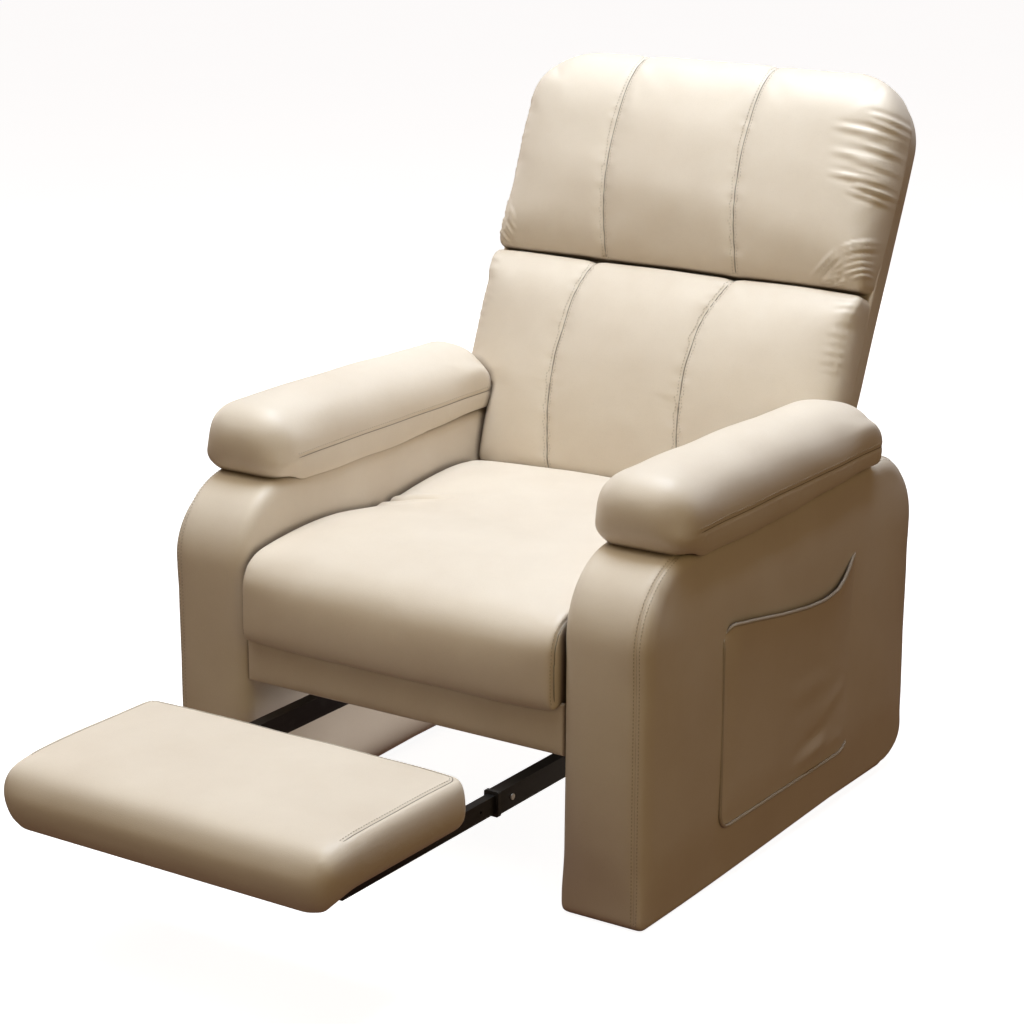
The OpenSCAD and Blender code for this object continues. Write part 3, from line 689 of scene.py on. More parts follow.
def make_arm():
    low = np.array([arm_low[0], arm_low[1], ARM_TOE_Z])
    points, quads = soft_box(low, arm_high, 0, arm_edges,
                             (14.0, ARM_REAR_FOOT, ARM_REAR_RADIUS, ARM_FRONT_RADIUS), 9.0, (36.0, 36.0))
    y, z = points[:, 1], points[:, 2]
    points[:, 2] += 12.0 * smooth(60.0, 700.0, y) * smooth(90.0, low[2], z)
    held = (z < 14 + 12.0 * smooth(60.0, 700.0, y)) | ((z > arm_high[2] - 3) & (y > 130) & (y < 600))
    held |= (points[:, 0] < arm_low[0] + 4) & (y > 60)
    points = inflated(points, quads, held, 3.0, 3.0)
    points, quads, out = finished(points, quads)
    x, y, z = points.T
    tall = smooth(6, 110, z) * (1 - smooth(370, 476, z))
    points[:, 0] += ARM_BELLY * smooth(0.1, 0.8, out[:, 0]) * tall
    points[:, 1] -= 3.5 * smooth(0.1, 0.8, -out[:, 1]) * smooth(arm_low[0], arm_low[0] + 40, x) * tall
    on_outline = np.hypot(out[:, 1], out[:, 2]) > 0.25
    points -= out * (0.9 * hump(x, ARM_SEAM_X, 2.6) * on_outline * (z > 12))[:, None]
    points += out * (wobble(points, 130.0, 0.55, 3) * smooth(6, 40, z))[:, None]
    return points, quads


for side, tree in cushion_pair("arm_upholstery", *make_arm(), "arm_cover", 0.9):
    path = even_path(arm_outline(), SEAM_STEP)
    starts = np.column_stack([np.full(len(path), side * ARM_SEAM_X), path])
    aims = np.array([0.0, 368.0, 200.0]) - starts
    aims[:, 1] = np.where(path[:, 1] < 370, np.sign(aims[:, 1]) * 200, aims[:, 1])
    aims[:, 0] = -side * 20.0
    seam_line("chair", tree, starts, aims, 0.4, (3.6,), 0.45)

# Arm pads

pad_low, pad_high = node_box("arm_pad_right")
PAD_SEAM_Z = 504.0
PAD_SLANT = (pad_high[1] - 590.0) / (pad_high[0] - pad_low[0])
PAD_LIP_Z = 467.0


def slant(points):
    """The pads' rear ends run at a slant, clear of the back."""
    t = smooth(380.0, pad_high[1], points[:, 1])
    points[:, 1] -= t * PAD_SLANT * (pad_high[0] - points[:, 0])
    return points


def make_pad():
    low = pad_low + np.array([-3.0, 2.0, 0.0])
    high = pad_high - np.array([1.0, 3.0, 2.0])
    low[2] = PAD_LIP_Z

    def edges(p):
        nose = smooth(150.0, 90.0, p[:, 1])
        rear = smooth(500.0, 560.0, p[:, 1])
        e = 9.0 + 49.0 * smooth(474.0 + 40.0 * rear, 542.0 + 24.0 * rear, p[:, 2])
        e = np.maximum(e, nose * (34.0 + 20.0 * smooth(480.0, 525.0, p[:, 2])))
        return e, e

    points, quads = soft_box(low, high, 0, edges, (50.0, 12.0, 40.0, 47.0), 6.5, (36.0, 36.0))
    x, y, z = points.T
    middle = (low[0] + high[0]) / 2
    tuck = 1 - 0.02 * smooth(PAD_SEAM_Z, low[2], z)
    points[:, 0] = middle + (x - middle) * tuck
    bulb = smooth(190.0, 50.0, y) * hump(z, 524.0, 38.0)      # the nose swells, most at its middle height
    points[:, 0] += bulb * np.where(x < middle, 7.0, 3.0) * (x - middle) / (middle - low[0])
    points[:, 1] -= bulb * 9.0 * smooth(110.0, 20.0, y)
    points[:, 2] -= 7.0 * smooth(260.0, 600.0, y) * smooth(PAD_SEAM_Z + 8, high[2], z)
    points[:, 2] += 9.0 * smooth(300.0, 600.0, y) * smooth(PAD_SEAM_Z, low[2], z)
    under = smooth(low[2] + 12, low[2], z) * smooth(64.0, 50.0, np.abs(x - middle))
    points[:, 2] += 14.0 * under * smooth(80.0, 120.0, y)
    points = slant(points)
    held = (points[:, 2] < low[2] + 15) | (np.abs(points[:, 2] - PAD_SEAM_Z) < 3.4) & (y > 90)
    points = inflated(points, quads, held, 1.6, 4.0)
    points = relaxed(points, quads, held & (points[:, 2] < low[2] + 4), 8)
    points, quads, out = finished(points, quads)
    x, y, z = points.T
    fade = smooth(80, 150, y)
    points -= out * (1.1 * hump(z, PAD_SEAM_Z, 2.6) * fade)[:, None]
    flat = np.column_stack([y, z])
    draw = np.random.default_rng(11)
    for _ in range(14):
        start = draw.uniform(110, 560)
        lean = draw.uniform(-14, 14)
        end = (start + lean, PAD_SEAM_Z - draw.uniform(16, 26))
        points += out * crease(flat, (start, PAD_SEAM_Z - 2), end,
                               draw.uniform(2.5, 4.5), draw.uniform(0.15, 0.4))[:, None]
    points += out * wobble(points, 110.0, 0.6, 5)[:, None]
    return points, quads


def pad_side_path(z):
    """A line round the pad's outside, from behind the nose on one side to the same place on the other."""
    (low, _, _), (high, rear, _), r, start = pad_low, pad_high, 42.0, 112.0
    path = even_path([[high, start]] + arc((high - r, rear - r), r, 0, 12)
                     + arc((low + r, rear - r), r, 90, 12) + [[low, start]], SEAM_STEP)
    height = np.full(len(path), z)
    out = np.column_stack([path, height])
    middle = 0 * height + (low + high) / 2
    centre = np.column_stack([middle, np.clip(path[:, 1], 110.0, rear - 90.0), height])
    aim = slant(centre.copy()) - slant(out.copy())
    return slant(out), aim


for side, tree in cushion_pair("arm_cushion", *make_pad(), "arm_pad", 0.8):
    flip = np.array([side, 1.0, 1.0])
    starts, aims = pad_side_path(PAD_SEAM_Z)
    seam_line("chair", tree, starts * flip, aims * flip, 0.2, (), 0.7)
    starts, aims = pad_side_path(PAD_SEAM_Z + 6.0)
    sew("chair", "stitch", *stitch_row(*laid_on(tree, starts * flip, aims * flip)))

# Seat cushion

seat_low, seat_high = node_box("seat_cushion")
SEAT_HALF = 251.0
SEAT_SEAM_X = SEAT_HALF - 2.0
SEAT_BASE_TOP = 396.0
seat_profile = curve_through([
    (-20, 392), (15, 396), (51, 402), (93, 406), (150, 408), (200, 407), (255, 400), (285, 395), (312, 392),
    (340, 397), (394, 406), (442, 410), (490, 411), (560, 405)])
seat_crown = curve_through([
    (-20, 0), (40, 6), (120, 13), (220, 15), (318, 15), (400, 15), (480, 13), (560, 8)])


def seat_top(x, y):
    """How far the top stands above its straight line: two humps at the sides, one broad crown between."""
    inward = 1 - (np.abs(x) / SEAT_HALF) ** 2.6
    fill = 9.0 * hump(y, 312.0, 38.0) * smooth(235.0, 120.0, np.abs(x))
    return seat_profile(y) - SEAT_BASE_TOP + seat_crown(y) * inward + fill


def make_seat():
    low = np.array([-SEAT_HALF, seat_low[1] - 3.0, seat_low[2]])
    high = np.array([SEAT_HALF, seat_high[1], SEAT_BASE_TOP])

    def edges(p):
        e = 8.0 + 4.0 * smooth(300.0, 380.0, p[:, 2])
        return e, e

    points, quads = soft_box(low, high, 0, edges, (20.0, 12.0, 22.0, 44.0), 8.0, (26.0, 40.0))
    x, y, z = points.T
    points[:, 2] += seat_top(x, y) * smooth(300.0, SEAT_BASE_TOP, z)
    front = smooth(8.0, -8.0, y)
    points[:, 2] -= front * smooth(330.0, low[2], z) * (8.0 - 3.0 * (x / SEAT_HALF) ** 8)
    points[:, 1] -= front * 5.0 * hump(z, 335.0, 48.0) * (1 - (np.abs(x) / SEAT_HALF) ** 4)
    held = (z < low[2] + 3) | (np.abs(np.abs(x) - SEAT_SEAM_X) < 4.0) & (z > 285) | (y > high[1] - 2)
    points = inflated(points, quads, held, 4.0, 4.0)
    points = relaxed(points, quads, z < low[2] + 3, 4)
    points, quads, out = finished(points, quads)
    x, y, z = points.T
    on_seam = np.maximum(-out[:, 1], out[:, 2]) > 0.3
    points -= out * (1.6 * hump(np.abs(x), SEAT_SEAM_X, 2.6) * smooth(278, 292, z) * on_seam)[:, None]
    flat = np.column_stack([x, y])
    on_top = smooth(0.5, 0.9, out[:, 2])
    draw = np.random.default_rng(21)
    for sign in (-1, 1):
        points += out * (on_top * crease(flat, (sign * 268, 311), (sign * 130, 322), 7.5, -6.5))[:, None]
        for _ in range(8):
            start = 312 + draw.uniform(-40, 40)
            reach = draw.uniform(34, 90)
            end = (sign * (244 - reach), start + (312 - start) * 0.4 + draw.uniform(-8, 8))
            fold = crease(flat, (sign * 244, start), end, draw.uniform(3.0, 6.0), draw.uniform(0.35, 0.9))
            points += out * (on_top * fold)[:, None]
    points += out * wobble(points, 150.0, 0.9, 9)[:, None]
    return points, quads


tree = cushion("seat_pad", *make_seat(), "chair", ("seat_cushion", "seat_foam"), 0.8)
for side in (1, -1):
    path = even_path([[seat_low[1], 288.0]] + arc((seat_low[1] + 44, 352.0), 44.0, 180, 12, -90)
                     + [[530.0, 404.0]], SEAM_STEP)
    starts = np.column_stack([np.full(len(path), side * SEAT_SEAM_X), path])
    aims = np.array([side * SEAT_SEAM_X, 0.0, 300.0]) - starts
    aims[:, 1] = np.where(path[:, 0] < 60, 60 - path[:, 0], 0.0)
    aims[:, 2] = np.where(path[:, 1] < 352, 0.0, 340 - path[:, 1])
    seam_line("chair", tree, starts, aims, 0.3, (-4.5 * side,), 0.9)

# Aprons


def make_apron(low, high, front, bulge, seed):
    """A thin padded panel. `front` is -1 if it faces forwards and 1 if backwards."""
    low, high = np.array(low, float), np.array(high, float)
    low[0], high[0] = low[0] - 3.0, high[0] + 3.0    # the ends press into the arms' padding
    edges = (6.0, 2.0) if front < 0 else (2.0, 6.0)
    points, quads = soft_box(low, high, 1, edges, (2.0,) * 4, 8.0, (12.0, 12.0))
    points, quads = refined(points, quads)
    x, y, z = points.T
    face = smooth(0.0, 1.0, front * centred(y, low[1], high[1]))
    shape = (1 - (np.abs(x) / high[0]) ** 6) * (1 - centred(z, low[2], high[2]) ** 4)
    points[:, 1] += front * face * (bulge * np.clip(shape, 0, 1) + wobble(points, 120.0, 0.5, seed))
    return points, quads


apron_low, apron_high = node_box("front_apron")
apron_high[2] += 7.0    # up behind the seat cushion's drooping front
apron_low[1] += 5.0     # a little behind it, so the cushion shades the joint
cushion("front_apron_cover", *make_apron(apron_low, apron_high, -1, 2.5, 31), "chair", ("front_apron",), 0.7)
rear_low, rear_high = node_box("rear_apron")
cushion("rear_apron_cover", *make_apron(rear_low, rear_high, 1, 3.0, 33), "chair", ("rear_apron",), 0.7)

# Back. Its half widths and its places along the slope follow the CAD solids.

BACK_HALF, BACK_NARROW, WING_FOOT, BACK_FOOT = 311.0, 255.5, 125.0, -10.0
BACK_SEAM, BACK_TOP, BACK_BODY = 322.0, 642.0, 60.0     # the top before its edges are rounded
BACK_CORNER = 98.0
BACK_JOINT = 36.0
CHANNEL = 110.0


def narrowed(points):
    """Below the wings the back is narrower, to pass between the arms."""
    ratio = BACK_NARROW / BACK_HALF
    front = smooth(30.0, 4.0, points[:, 1])
    t = smooth(WING_FOOT - 3.0 - 12.0 * front, WING_FOOT + 11.0 - 6.0 * front, points[:, 2])
    points[:, 0] *= ratio + (1 - ratio) * t
    return points


def with_wing_lines(s_lines):
    """Adds lines where the back widens, so that the wings' undersides are smooth."""
    extra = np.linspace(WING_FOOT - 14.0, WING_FOOT + 12.0, 19)
    keep = s_lines[(s_lines < extra[0] - 2) | (s_lines > extra[-1] + 2)]
    return np.sort(np.concatenate([keep, extra]))


def back_box(low, high, edges, corners, step, soft):
    """A rounded box in the back's frame, narrower below the wings if it reaches down there."""
    low, high = np.array(low, float), np.array(high, float)
    grid = [lines(low[0], high[0], step, soft, soft), lines(low[1], high[1], step, 10.0, 6.0),
            lines(low[2], high[2], step, soft, soft)]
    has_wings = low[2] < WING_FOOT < high[2]
    if has_wings:
        grid[2] = with_wing_lines(grid[2])
    points, quads = box_grid(grid)
    points = soften(points, low, high, 1, edges(points), corners)
    return (narrowed(points) if has_wings else points), quads


def top_roll(s):
    """How far back the joint between cushion and shell runs near the top."""
    return 9.0 * smooth(555.0, BACK_TOP, s)


def flared(points, half):
    """The sides of the upper back spread a little towards the rear."""
    _, n, s = points.T
    rise = smooth(-10.0, BACK_JOINT, n) * smooth(WING_FOOT, WING_FOOT + 60.0, s)
    wide = 314.0 + 3.0 * hump(s, 480.0, 90.0)
    points[:, 0] *= 1 + rise * (wide / half - 1)
    return points


def make_shell():
    low, high = (-BACK_HALF + 1.0, BACK_JOINT - 10, BACK_FOOT), (BACK_HALF - 1.0, BACK_BODY, BACK_TOP - 5.0)

    def edges(p):
        return np.full(len(p), 2.0), np.full(len(p), 6.0)

    points, quads = back_box(low, high, edges, (20.0, 20.0, BACK_CORNER, BACK_CORNER), 10.0, 36.0)
    points = flared(points, BACK_HALF)
    points[:, 1] += top_roll(points[:, 2]) * smooth(BACK_BODY - 8, BACK_JOINT, points[:, 1])
    points, quads, out = finished(points, quads)
    x, _, s = points.T
    rear = smooth(0.5, 0.95, out[:, 1])
    bulge = (1 - (np.abs(x) / BACK_HALF) ** 4) * smooth(0, 120, s) * (1 - smooth(520, 632, s))
    points[:, 1] += rear * 3.0 * bulge
    points += out * (wobble(points, 140.0, 0.6, 41))[:, None]
    return points, quads


tree = cushion("back_cover", *make_shell(), "back", ("back_shell",), 0.5)

# The rear panel's seam runs up from one wing's foot, over the top and down to the other
w, top, r = BACK_HALF - 14.0, BACK_TOP - 19.0, BACK_CORNER - 12.0
path = even_path([[w, WING_FOOT + 20]] + arc((w - r, top - r), r, 0, 14) + arc((r - w, top - r), r, 90, 14)
                 + [[-w, WING_FOOT + 20]], SEAM_STEP)
starts = np.column_stack([path[:, 0], np.full(len(path), BACK_BODY), path[:, 1]])
seam_line("back", tree, starts, alike((0.0, -1.0, 0.0), path), 0.2, (-4.0,), 0.8)

channel_bow = curve_through([
    (-10, -13), (21, -18), (97, -29), (170, -34), (245, -30), (275, -21), (300, -11), (322, -3),
    (335, -1), (363, -7), (410, -15), (460, -21), (505, -24), (572, -23), (640, -20)])


def channel_at(side, s):
    """Where a channel seam runs. Both bow sideways together, and the left one leans out below the crease."""
    lean = np.where(s < BACK_SEAM, 13.0 * smooth(215.0, BACK_SEAM, s), 0.0)
    return side * CHANNEL + channel_bow(s) - (lean if side < 0 else 0.0)


def off_channel(x, s):
    """Distance from the nearer channel seam."""
    return np.minimum(np.abs(x - channel_at(1, s)), np.abs(x - channel_at(-1, s)))


def channel_detail(points, out, seed):
    """The pulled-in seam lines of the channels, with tiny puckers along them."""
    x, _, s = points.T
    front = smooth(0.15, 0.55, -out[:, 1]) + smooth(0.5, 0.9, out[:, 2])
    off = off_channel(x, s)
    depth = 2.3 * np.exp(-(off / 2.4) ** 2) + 2.2 * np.exp(-(off / 12.0) ** 2)
    draw = np.random.default_rng(seed)
    beat = np.zeros(len(points))
    for length in (17.0, 23.0, 31.0):
        beat += np.sin(s * 2 * math.pi / length + draw.uniform(0, 6) + x * 0.02)
    depth += 0.16 * beat * np.exp(-((off - 7.0) / 6.0) ** 2)
    return points - out * (depth * np.clip(front, 0, 1))[:, None]


HEAD_HALF, LUMBAR_HALF = 308.0, 310.5
head_profile = curve_through([
    (322, 19), (332, 14), (345, 8), (365, 2), (395, -5), (430, -9), (470, -9), (510, -7), (545, -5),
    (575, -2), (600, 4), (622, 14), (644, 31)])
lumbar_profile = curve_through([
    (-12, 10), (10, 6), (40, 0), (80, -8), (130, -13), (180, -14), (225, -11), (260, -6), (285, 0),
    (305, 7), (324, 14)])


def head_edges(p):
    s = p[:, 2]
    return 14.0 + 14.0 * smooth(330.0, 375.0, s) - 4.0 * smooth(545.0, 625.0, s), np.full(len(p), 4.0)


def lumbar_edges(p):
    return 24.0 - 12.0 * smooth(265.0, 312.0, p[:, 2]), np.full(len(p), 4.0)


def make_back_cushion(half, front_n, foot, top, held_ends, edges, corners, soft, profile, rim, seed):
    """A cushion of the back with its channels sewn, and its outward directions.

    Its front stands behind `front_n` by `profile`, and by `rim` more at its sides. The cloth is held over
    the lengths `held_ends` at its foot and top."""
    points, quads = back_box((-half, front_n, foot), (half, BACK_JOINT, top), edges, corners, 7.5, soft)
    x, n, s = points.T
    front = np.clip((BACK_JOINT - n) / (BACK_JOINT - front_n), 0, 1)
    across = 1 - (np.abs(x) / half) ** 3
    shape = profile(s)
    points[:, 1] += front * (np.maximum(shape, 0) + np.minimum(shape, 0) * across + rim * (1 - across) ** 2)
    points[:, 1] += (1 - front) * top_roll(s)
    points = flared(points, half)
    held = (off_channel(x, s) < 3.8) | (n > BACK_JOINT - 6)
    held |= (s < foot + held_ends[0]) | (s > top - held_ends[1])
    points = relaxed(inflated(points, quads, held, 4.5, 4.0, 0.01), quads, held, 2)
    points, quads, out = finished(points, quads)
    return channel_detail(points, out, seed), quads, out


def make_head():
    points, quads, out = make_back_cushion(
        HEAD_HALF, -24.0, BACK_SEAM + 2.0, BACK_TOP + 1.0, (2.0, 3.0), head_edges,
        (14.0, 14.0, BACK_CORNER, BACK_CORNER), 36.0, head_profile, 7.0, 51)
    flat = points[:, [0, 2]]
    front = smooth(0.05, 0.4, np.maximum(-out[:, 1], np.abs(out[:, 0]) * 0.6))
    draw = np.random.default_rng(52)
    for k in range(11):                      # gathers down the right-hand edge
        at = 452 + k * 11.5 + draw.uniform(-2.5, 2.5)
        long = draw.uniform(44, 66) + 34.0 * (k % 3 == 2)
        end = (316 - long, at + draw.uniform(3, 12))
        fold = crease(flat, (316, at), end, draw.uniform(3.2, 5.2), draw.uniform(1.5, 2.8))
        points += out * (front * fold)[:, None]
    for k in range(7):                       # and down the left-hand edge, fewer
        at = 440 + k * 18.0 + draw.uniform(-4, 4)
        end = (-312 + draw.uniform(20, 38), at + draw.uniform(2, 12))
        fold = crease(flat, (-312, at), end, draw.uniform(2.6, 4.4), draw.uniform(0.3, 0.7))
        points += out * (front * fold)[:, None]
    for sign, height in ((1, 3.6), (-1, 1.9)):   # slanting gathers in the lower corners
        for k in range(6):
            start = np.array([sign * 312.0, 398.0 - k * 9.5 + draw.uniform(-2, 2)])
            reach = (96.0 - k * 8.0) * draw.uniform(0.85, 1.1) * (1.0 if sign > 0 else 0.5)
            bend = start + (-sign * reach * 0.5, -reach * 0.26)
            end = (start[0] - sign * reach, max(329.0, start[1] - reach * 0.8))
            width, deep = draw.uniform(2.6, 3.8), height * draw.uniform(0.7, 1.1)
            fold = np.maximum(crease(flat, start, bend, width, deep), crease(flat, bend, end, width, deep))
            points += out * (front * fold)[:, None]
    points += out * wobble(points, 120.0, 0.8, 53)[:, None]
    return points, quads


def make_lumbar():
    points, quads, out = make_back_cushion(
        LUMBAR_HALF, -20.0, BACK_FOOT + 2, BACK_SEAM - 1.5, (4.0, 2.5), lumbar_edges,
        (18.0, 18.0, 12.0, 12.0), 30.0, lumbar_profile, 6.0, 61)
    flat = points[:, [0, 2]]
    front = smooth(0.05, 0.4, -out[:, 1])
    draw = np.random.default_rng(62)
    for sign in (1, -1):                     # short gathers below the crease, at both edges
        for k in range(8):
            at = 302 - k * 14 + draw.uniform(-4, 4)
            end = (sign * (310 - draw.uniform(22, 42)), at - draw.uniform(-4, 8))
            fold = crease(flat, (sign * 310, at), end, draw.uniform(2.6, 4.4), draw.uniform(0.3, 0.7))
            points += out * (front * fold)[:, None]
    points += out * wobble(points, 130.0, 0.8, 63)[:, None]
    return points, quads


for name, make, replaces, foot, top in (
        ("head_pad", make_head, ("head_cushion", "head_foam"), BACK_SEAM + 6, BACK_TOP - 1),
        ("lumbar_pad", make_lumbar, ("lumbar_cushion", "lumbar_foam"), BACK_FOOT + 12, BACK_SEAM - 6)):
    tree = cushion(name, *make(), "back", replaces, 0.85)
    for sign in (1, -1):
        s = np.arange(foot, top, SEAM_STEP)
        starts = np.column_stack([channel_at(sign, s), np.full(len(s), -20.0), s])
        seam_line("back", tree, starts, alike((0.0, 1.0, 0.0), s), 0.1, (4.2,), 0.85)

# Footrest

foot_low, foot_high = node_box("footrest_cushion")
FOOT_HALF = 250.0
FOOT_SEAM_IN = 9.0
FOOT_ROLL = 44.0


def make_footrest():
    low = np.array([-FOOT_HALF + 1, foot_low[1] - 2.0, foot_low[2]])
    high = np.array([FOOT_HALF - 1, foot_high[1], foot_high[2] - 2.0])

    def edges(p):
        front = smooth(foot_low[1] + 110, foot_low[1] + 10, p[:, 1])
        side = smooth(FOOT_HALF - 50, FOOT_HALF - 20, np.abs(p[:, 0]))
        return 11.0 + np.maximum(6.0 * front, 10.0 * side), 10.0 + 8.0 * front

    points, quads = soft_box(low, high, 2, edges, (32.0, 32.0, 18.0, 18.0), 7.5, (36.0, 36.0))
    x, y, z = points.T
    nose = smooth(foot_low[1] + 62, foot_low[1] + 14, y)
    points[:, 2] -= 13.0 * nose * np.clip((high[2] - z) / (high[2] - low[2]), 0, 1)
    tall = np.clip(1 - centred(z, low[2], high[2]) ** 2, 0, 1)
    points[:, 0] += np.sign(x) * 8.0 * tall * smooth(FOOT_HALF - 40, FOOT_HALF - 2, np.abs(x))
    points[:, 1] -= 4.0 * tall * smooth(foot_low[1] + 40, foot_low[1], y)
    roll = np.clip(1 - (y - low[1]) / FOOT_ROLL, 0, 1)
    drop = 0.6 * (FOOT_ROLL - np.sqrt(FOOT_ROLL ** 2 - (roll * FOOT_ROLL) ** 2))
    points[:, 2] -= drop * np.clip((z - low[2]) / (high[2] - low[2]), 0, 1) ** 1.4
    crown = smooth(high[2] - 6, high[2], z) * (1 - (x / FOOT_HALF) ** 4) * smooth(-480, -420, y)
    points[:, 2] += 2.5 * crown
    inset = np.minimum(FOOT_HALF - np.abs(x), foot_high[1] - y)
    on_seam = (np.abs(inset - FOOT_SEAM_IN) < 3.5) & (z > high[2] - 10) & (y > foot_low[1] + 55)
    held = (z < low[2] + 2) | on_seam
    points = inflated(points, quads, held, 2.5, 3.0)
    points = relaxed(points, quads, held, 3)
    points = relaxed(points, quads, (points[:, 1] > foot_low[1] + 60) | (points[:, 2] < low[2] - 8), 14)
    points, quads, out = finished(points, quads)
    x, y, z = points.T
    inset = np.minimum(FOOT_HALF - np.abs(x), foot_high[1] - y)
    fade = smooth(foot_low[1] + 40, foot_low[1] + 80, y) * smooth(0.3, 0.6, out[:, 2])
    points -= out * (1.4 * hump(inset, FOOT_SEAM_IN, 2.4) * fade)[:, None]
    points += out * (wobble(points, 120.0, 0.5, 71) * smooth(184, 200, z))[:, None]
    return points, quads


tree = cushion("footrest_pad", *make_footrest(), "footrest", ("footrest_cushion", "footrest_foam"), 0.9)
w, rear, r = FOOT_HALF - FOOT_SEAM_IN, foot_high[1] - FOOT_SEAM_IN, 14.0
path = even_path([[w, foot_low[1] + 48]] + arc((w - r, rear - r), r, 0, 8) + arc((r - w, rear - r), r, 90, 8)
                 + [[-w, foot_low[1] + 48]], SEAM_STEP)
starts = np.column_stack([path, np.full(len(path), foot_high[2])])
seam_line("footrest", tree, starts, alike((0.0, 0.0, -1.0), path), 0.2, (-3.6,), 0.8)

# Side pocket

pocket_low = node_box("side_pocket")[0]
POCKET_WALL = 2.4
POCKET_REAR = 552.0
PIPING_RADIUS = 2.6
POCKET_FOOT_X = pocket_low[0] + ARM_BELLY + 1.6
pocket_mouth = curve_through([
    (180, 350), (190, 357), (200, 359), (243, 353), (328, 338), (400, 328), (450, 325), (490, 330),
    (518, 344), (535, 358), (556, 368)])


def pocket_sheet(count_y=80, count_z=56):
    """The pocket's outer panel, as a grid of points from its front edge to its rear edge."""
    u, v = np.meshgrid(np.linspace(0, 1, count_y), np.linspace(0, 1, count_z), indexing="ij")
    front = pocket_low[1]
    y = front + u * (POCKET_REAR - front)
    z = pocket_low[2] + v * (pocket_mouth(y) - pocket_low[2])
    for at_front, top, radius in ((1, 0, 24.0), (0, 0, 40.0), (1, 1, 20.0)):
        p = (front + radius - y) if at_front else (y - (POCKET_REAR - radius))
        q = (z - (pocket_mouth(front + radius) - radius)) if top else (pocket_low[2] + radius - z)
        zone = (p > 0) & (q > 0)
        ratio = np.where(zone, np.maximum(p, q) / np.maximum(np.hypot(p, q), 1e-9), 1.0)
        rounded = (front + radius - p * ratio) if at_front else (POCKET_REAR - radius + p * ratio)
        y = np.where(zone, rounded, y)
        z = np.where(zone, z + (q * ratio - q) * (1 if top else -1), z)
    side = np.minimum(np.minimum(u * 9, (1 - u) * 5), 1.0)
    side = np.minimum(side, np.minimum(v * 5, 1.0))
    belly = np.sin(side * math.pi / 2)
    x = POCKET_FOOT_X + belly * (2.5 + 6.5 * v ** 2.5)
    flat = np.stack([y.ravel(), z.ravel()], 1)
    draw = np.random.default_rng(81)
    ripple = np.zeros(flat.shape[0])
    for _ in range(9):
        start = np.array([draw.uniform(430, 540), draw.uniform(92, 210)])
        end = start + np.array([draw.uniform(-150, -80), draw.uniform(-34, 10)])
        ripple += crease(flat, start, end, draw.uniform(9, 15), draw.uniform(0.6, 1.3))
    for k in range(9):
        start = np.array([546.0 - k * 6, pocket_mouth(546.0 - k * 6) - 3])
        end = start + np.array([draw.uniform(-16, -4), -draw.uniform(14, 30)])
        ripple += crease(flat, start, end, 2.5, 0.9)
    x = x + ripple.reshape(x.shape) * belly
    return np.stack([x, y, z], -1)


def sheet_solid(outer, wall):
    """A closed sheet with the given wall behind its outer surface."""
    rows, cols, _ = outer.shape
    inner = outer.copy()
    inner[..., 0] -= wall
    points = np.vstack([outer.reshape(-1, 3), inner.reshape(-1, 3)])
    index = np.arange(rows * cols).reshape(rows, cols)
    a, b, c, d = index[:-1, :-1], index[1:, :-1], index[1:, 1:], index[:-1, 1:]
    face = np.stack([a, b, c, d], -1).reshape(-1, 4)
    back = face[:, ::-1] + rows * cols
    rim = np.concatenate([index[:, 0], index[-1, 1:], index[-2::-1, -1], index[0, -2:0:-1]])
    nxt = np.roll(rim, -1)
    edge = np.stack([nxt, rim, rim + rows * cols, nxt + rows * cols], -1)
    return points, np.vstack([face, back, edge])


sheet = pocket_sheet()
cushion("side_pocket_panel", *refined(*sheet_solid(sheet, POCKET_WALL)), "chair", ("side_pocket",), 0.1)
front_edge, bottom_edge, mouth_edge = sheet[0, -3::-1], sheet[1:, 0], sheet[:, -1]
for path, lift in ((np.vstack([front_edge, bottom_edge]), 0.6), (mouth_edge, -0.6)):
    path = even_path(path, 3.0)
    piping = tube(path + [lift, 0.0, 0.0], alike((1.0, 0.0, 0.0), path), PIPING_RADIUS, 12, 4)
    sew("chair", "piping", *piping)

# Threads and piping, one piece of each kind for each body

KINDS = {"seam": (seam_thread, "seams"), "stitch": (top_thread, "stitches"),
         "piping": (piping_leather_painted_shade, "piping")}
for (body, kind), parts in sorted(SEWN.items()):
    material, word = KINDS[kind]
    piece(f"{word}_{body}", *joined(parts), material, body)

# Floor and light

STUDIO_RADIUS = 14.0


def turned_sheet(name, radii, heights, material, count=64):
    """A round sheet, turned about the middle of the floor."""
    angle = np.linspace(0, 2 * math.pi, count, endpoint=False)
    rings = [np.stack([np.cos(angle) * r, np.sin(angle) * r, 0 * angle + h], 1)
             for r, h in zip(radii, heights)]
    points = np.vstack([[[0.0, 0.0, heights[0]]], *rings])
    faces = [[0, 1 + k, 1 + (k + 1) % count] for k in range(count)]
    for row in range(len(radii) - 1):
        for k in range(count):
            a, b = 1 + row * count + k, 1 + row * count + (k + 1) % count
            faces.append([a, a + count, b + count, b])
    mesh = bpy.data.meshes.new(name)
    mesh.from_pydata(points.tolist(), [], faces)
    obj = bpy.data.objects.new(name, mesh)
    bpy.context.scene.collection.objects.link(obj)
    obj.data.materials.append(material)
    obj.visible_diffuse = False
    obj.visible_glossy = False
    return obj


def pale(name, glow):
    m = Nodes(name)
    tone = m.ramp(m.noise(1.5), (0.3, (0.42, 0.42, 0.42)), (0.7, (0.46, 0.46, 0.46)))
    return m.done(tone, m.maths("MULTIPLY_ADD", m.noise(9.0), 0.1, 0.7), Emission_Color=(1.0, 1.0, 1.0, 1.0),
                  Emission_Strength=glow, Specular_IOR_Level=0.1)


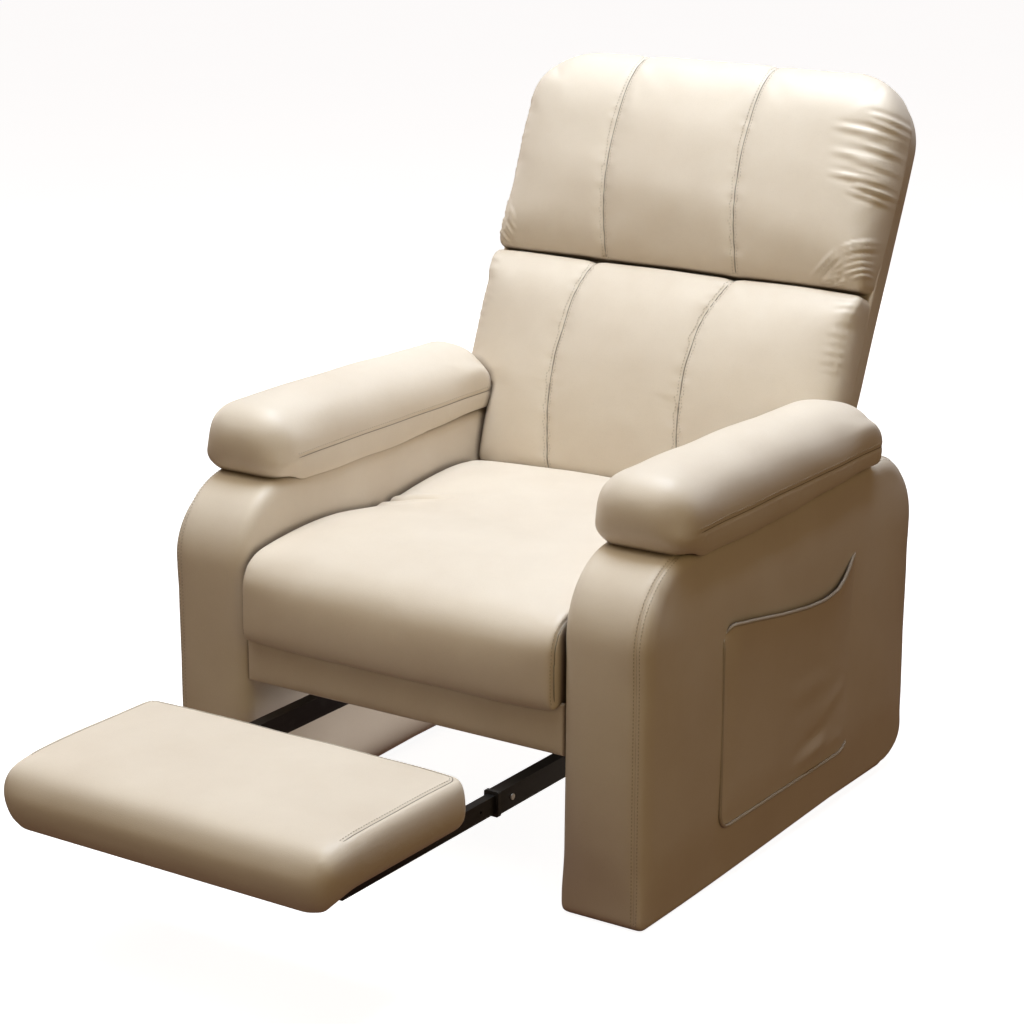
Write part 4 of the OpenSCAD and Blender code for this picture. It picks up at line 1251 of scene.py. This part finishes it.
turned_sheet("studio_floor", (3.0, STUDIO_RADIUS), (0.0, 0.0), pale("pale_floor", 0.93))
height_angle = np.radians(np.linspace(88, 0, 12))
wall = turned_sheet("studio_wall", STUDIO_RADIUS * np.cos(height_angle),
                    STUDIO_RADIUS * np.sin(height_angle), pale("pale_wall", 0.95))
wall.visible_shadow = False


def softbox(name, place, aim, size, power, colour):
    light = bpy.data.lights.new(name, "AREA")
    light.shape = "RECTANGLE"
    light.size, light.size_y = size
    light.energy = power
    light.color = colour
    obj = bpy.data.objects.new(name, light)
    obj.location = place
    obj.rotation_mode = "QUATERNION"
    obj.rotation_quaternion = (Vector(aim) - Vector(place)).to_track_quat("-Z", "Y")
    bpy.context.scene.collection.objects.link(obj)
    return obj


for lamp in (
        ("key_above", (-0.5, -0.6, 3.6), (0.0, 0.0, 0.4), (3.0, 3.0), 67.0, (1.0, 0.93, 0.76)),
        ("top", (0.0, 0.5, 3.2), (0.0, 0.1, 0.4), (1.6, 1.6), 86.0, (0.73, 0.85, 1.0)),
        ("right_fill", (3.2, -1.0, 1.6), (0.0, 0.0, 0.4), (1.8, 1.8), 12.0, (1.0, 0.83, 0.32)),
        ("front_fill", (-0.6, -3.4, 1.6), (0.0, 0.0, 0.5), (1.8, 1.8), 10.0, (0.95, 0.9, 0.55)),
        ("rear_fill", (-1.6, 3.4, 0.9), (0.0, 0.2, 0.6), (2.4, 1.6), 20.0, (1.0, 0.92, 0.82)),
        ("floor_bounce", (0.0, 0.15, 0.012), (0.0, 0.15, 1.0), (0.44, 0.5), 0.9, (1.0, 0.97, 0.92)),
        ("left_fill", (-3.4, 1.4, 1.0), (-0.2, 0.2, 0.3), (1.8, 1.6), 16.0, (1.0, 0.92, 0.80))):
    softbox(*lamp)
bounce = bpy.data.objects["floor_bounce"]        # lights the seat's underside, and isn't seen itself
bounce.visible_camera = bounce.visible_glossy = False
world = bpy.data.worlds.new("studio")
world.use_nodes = True
background = world.node_tree.nodes["Background"]
background.inputs["Color"].default_value = (1.0, 0.52, 0.38, 1.0)
background.inputs["Strength"].default_value = 0.10
bpy.context.scene.world = world
bpy.context.scene.view_settings.view_transform = "Standard"
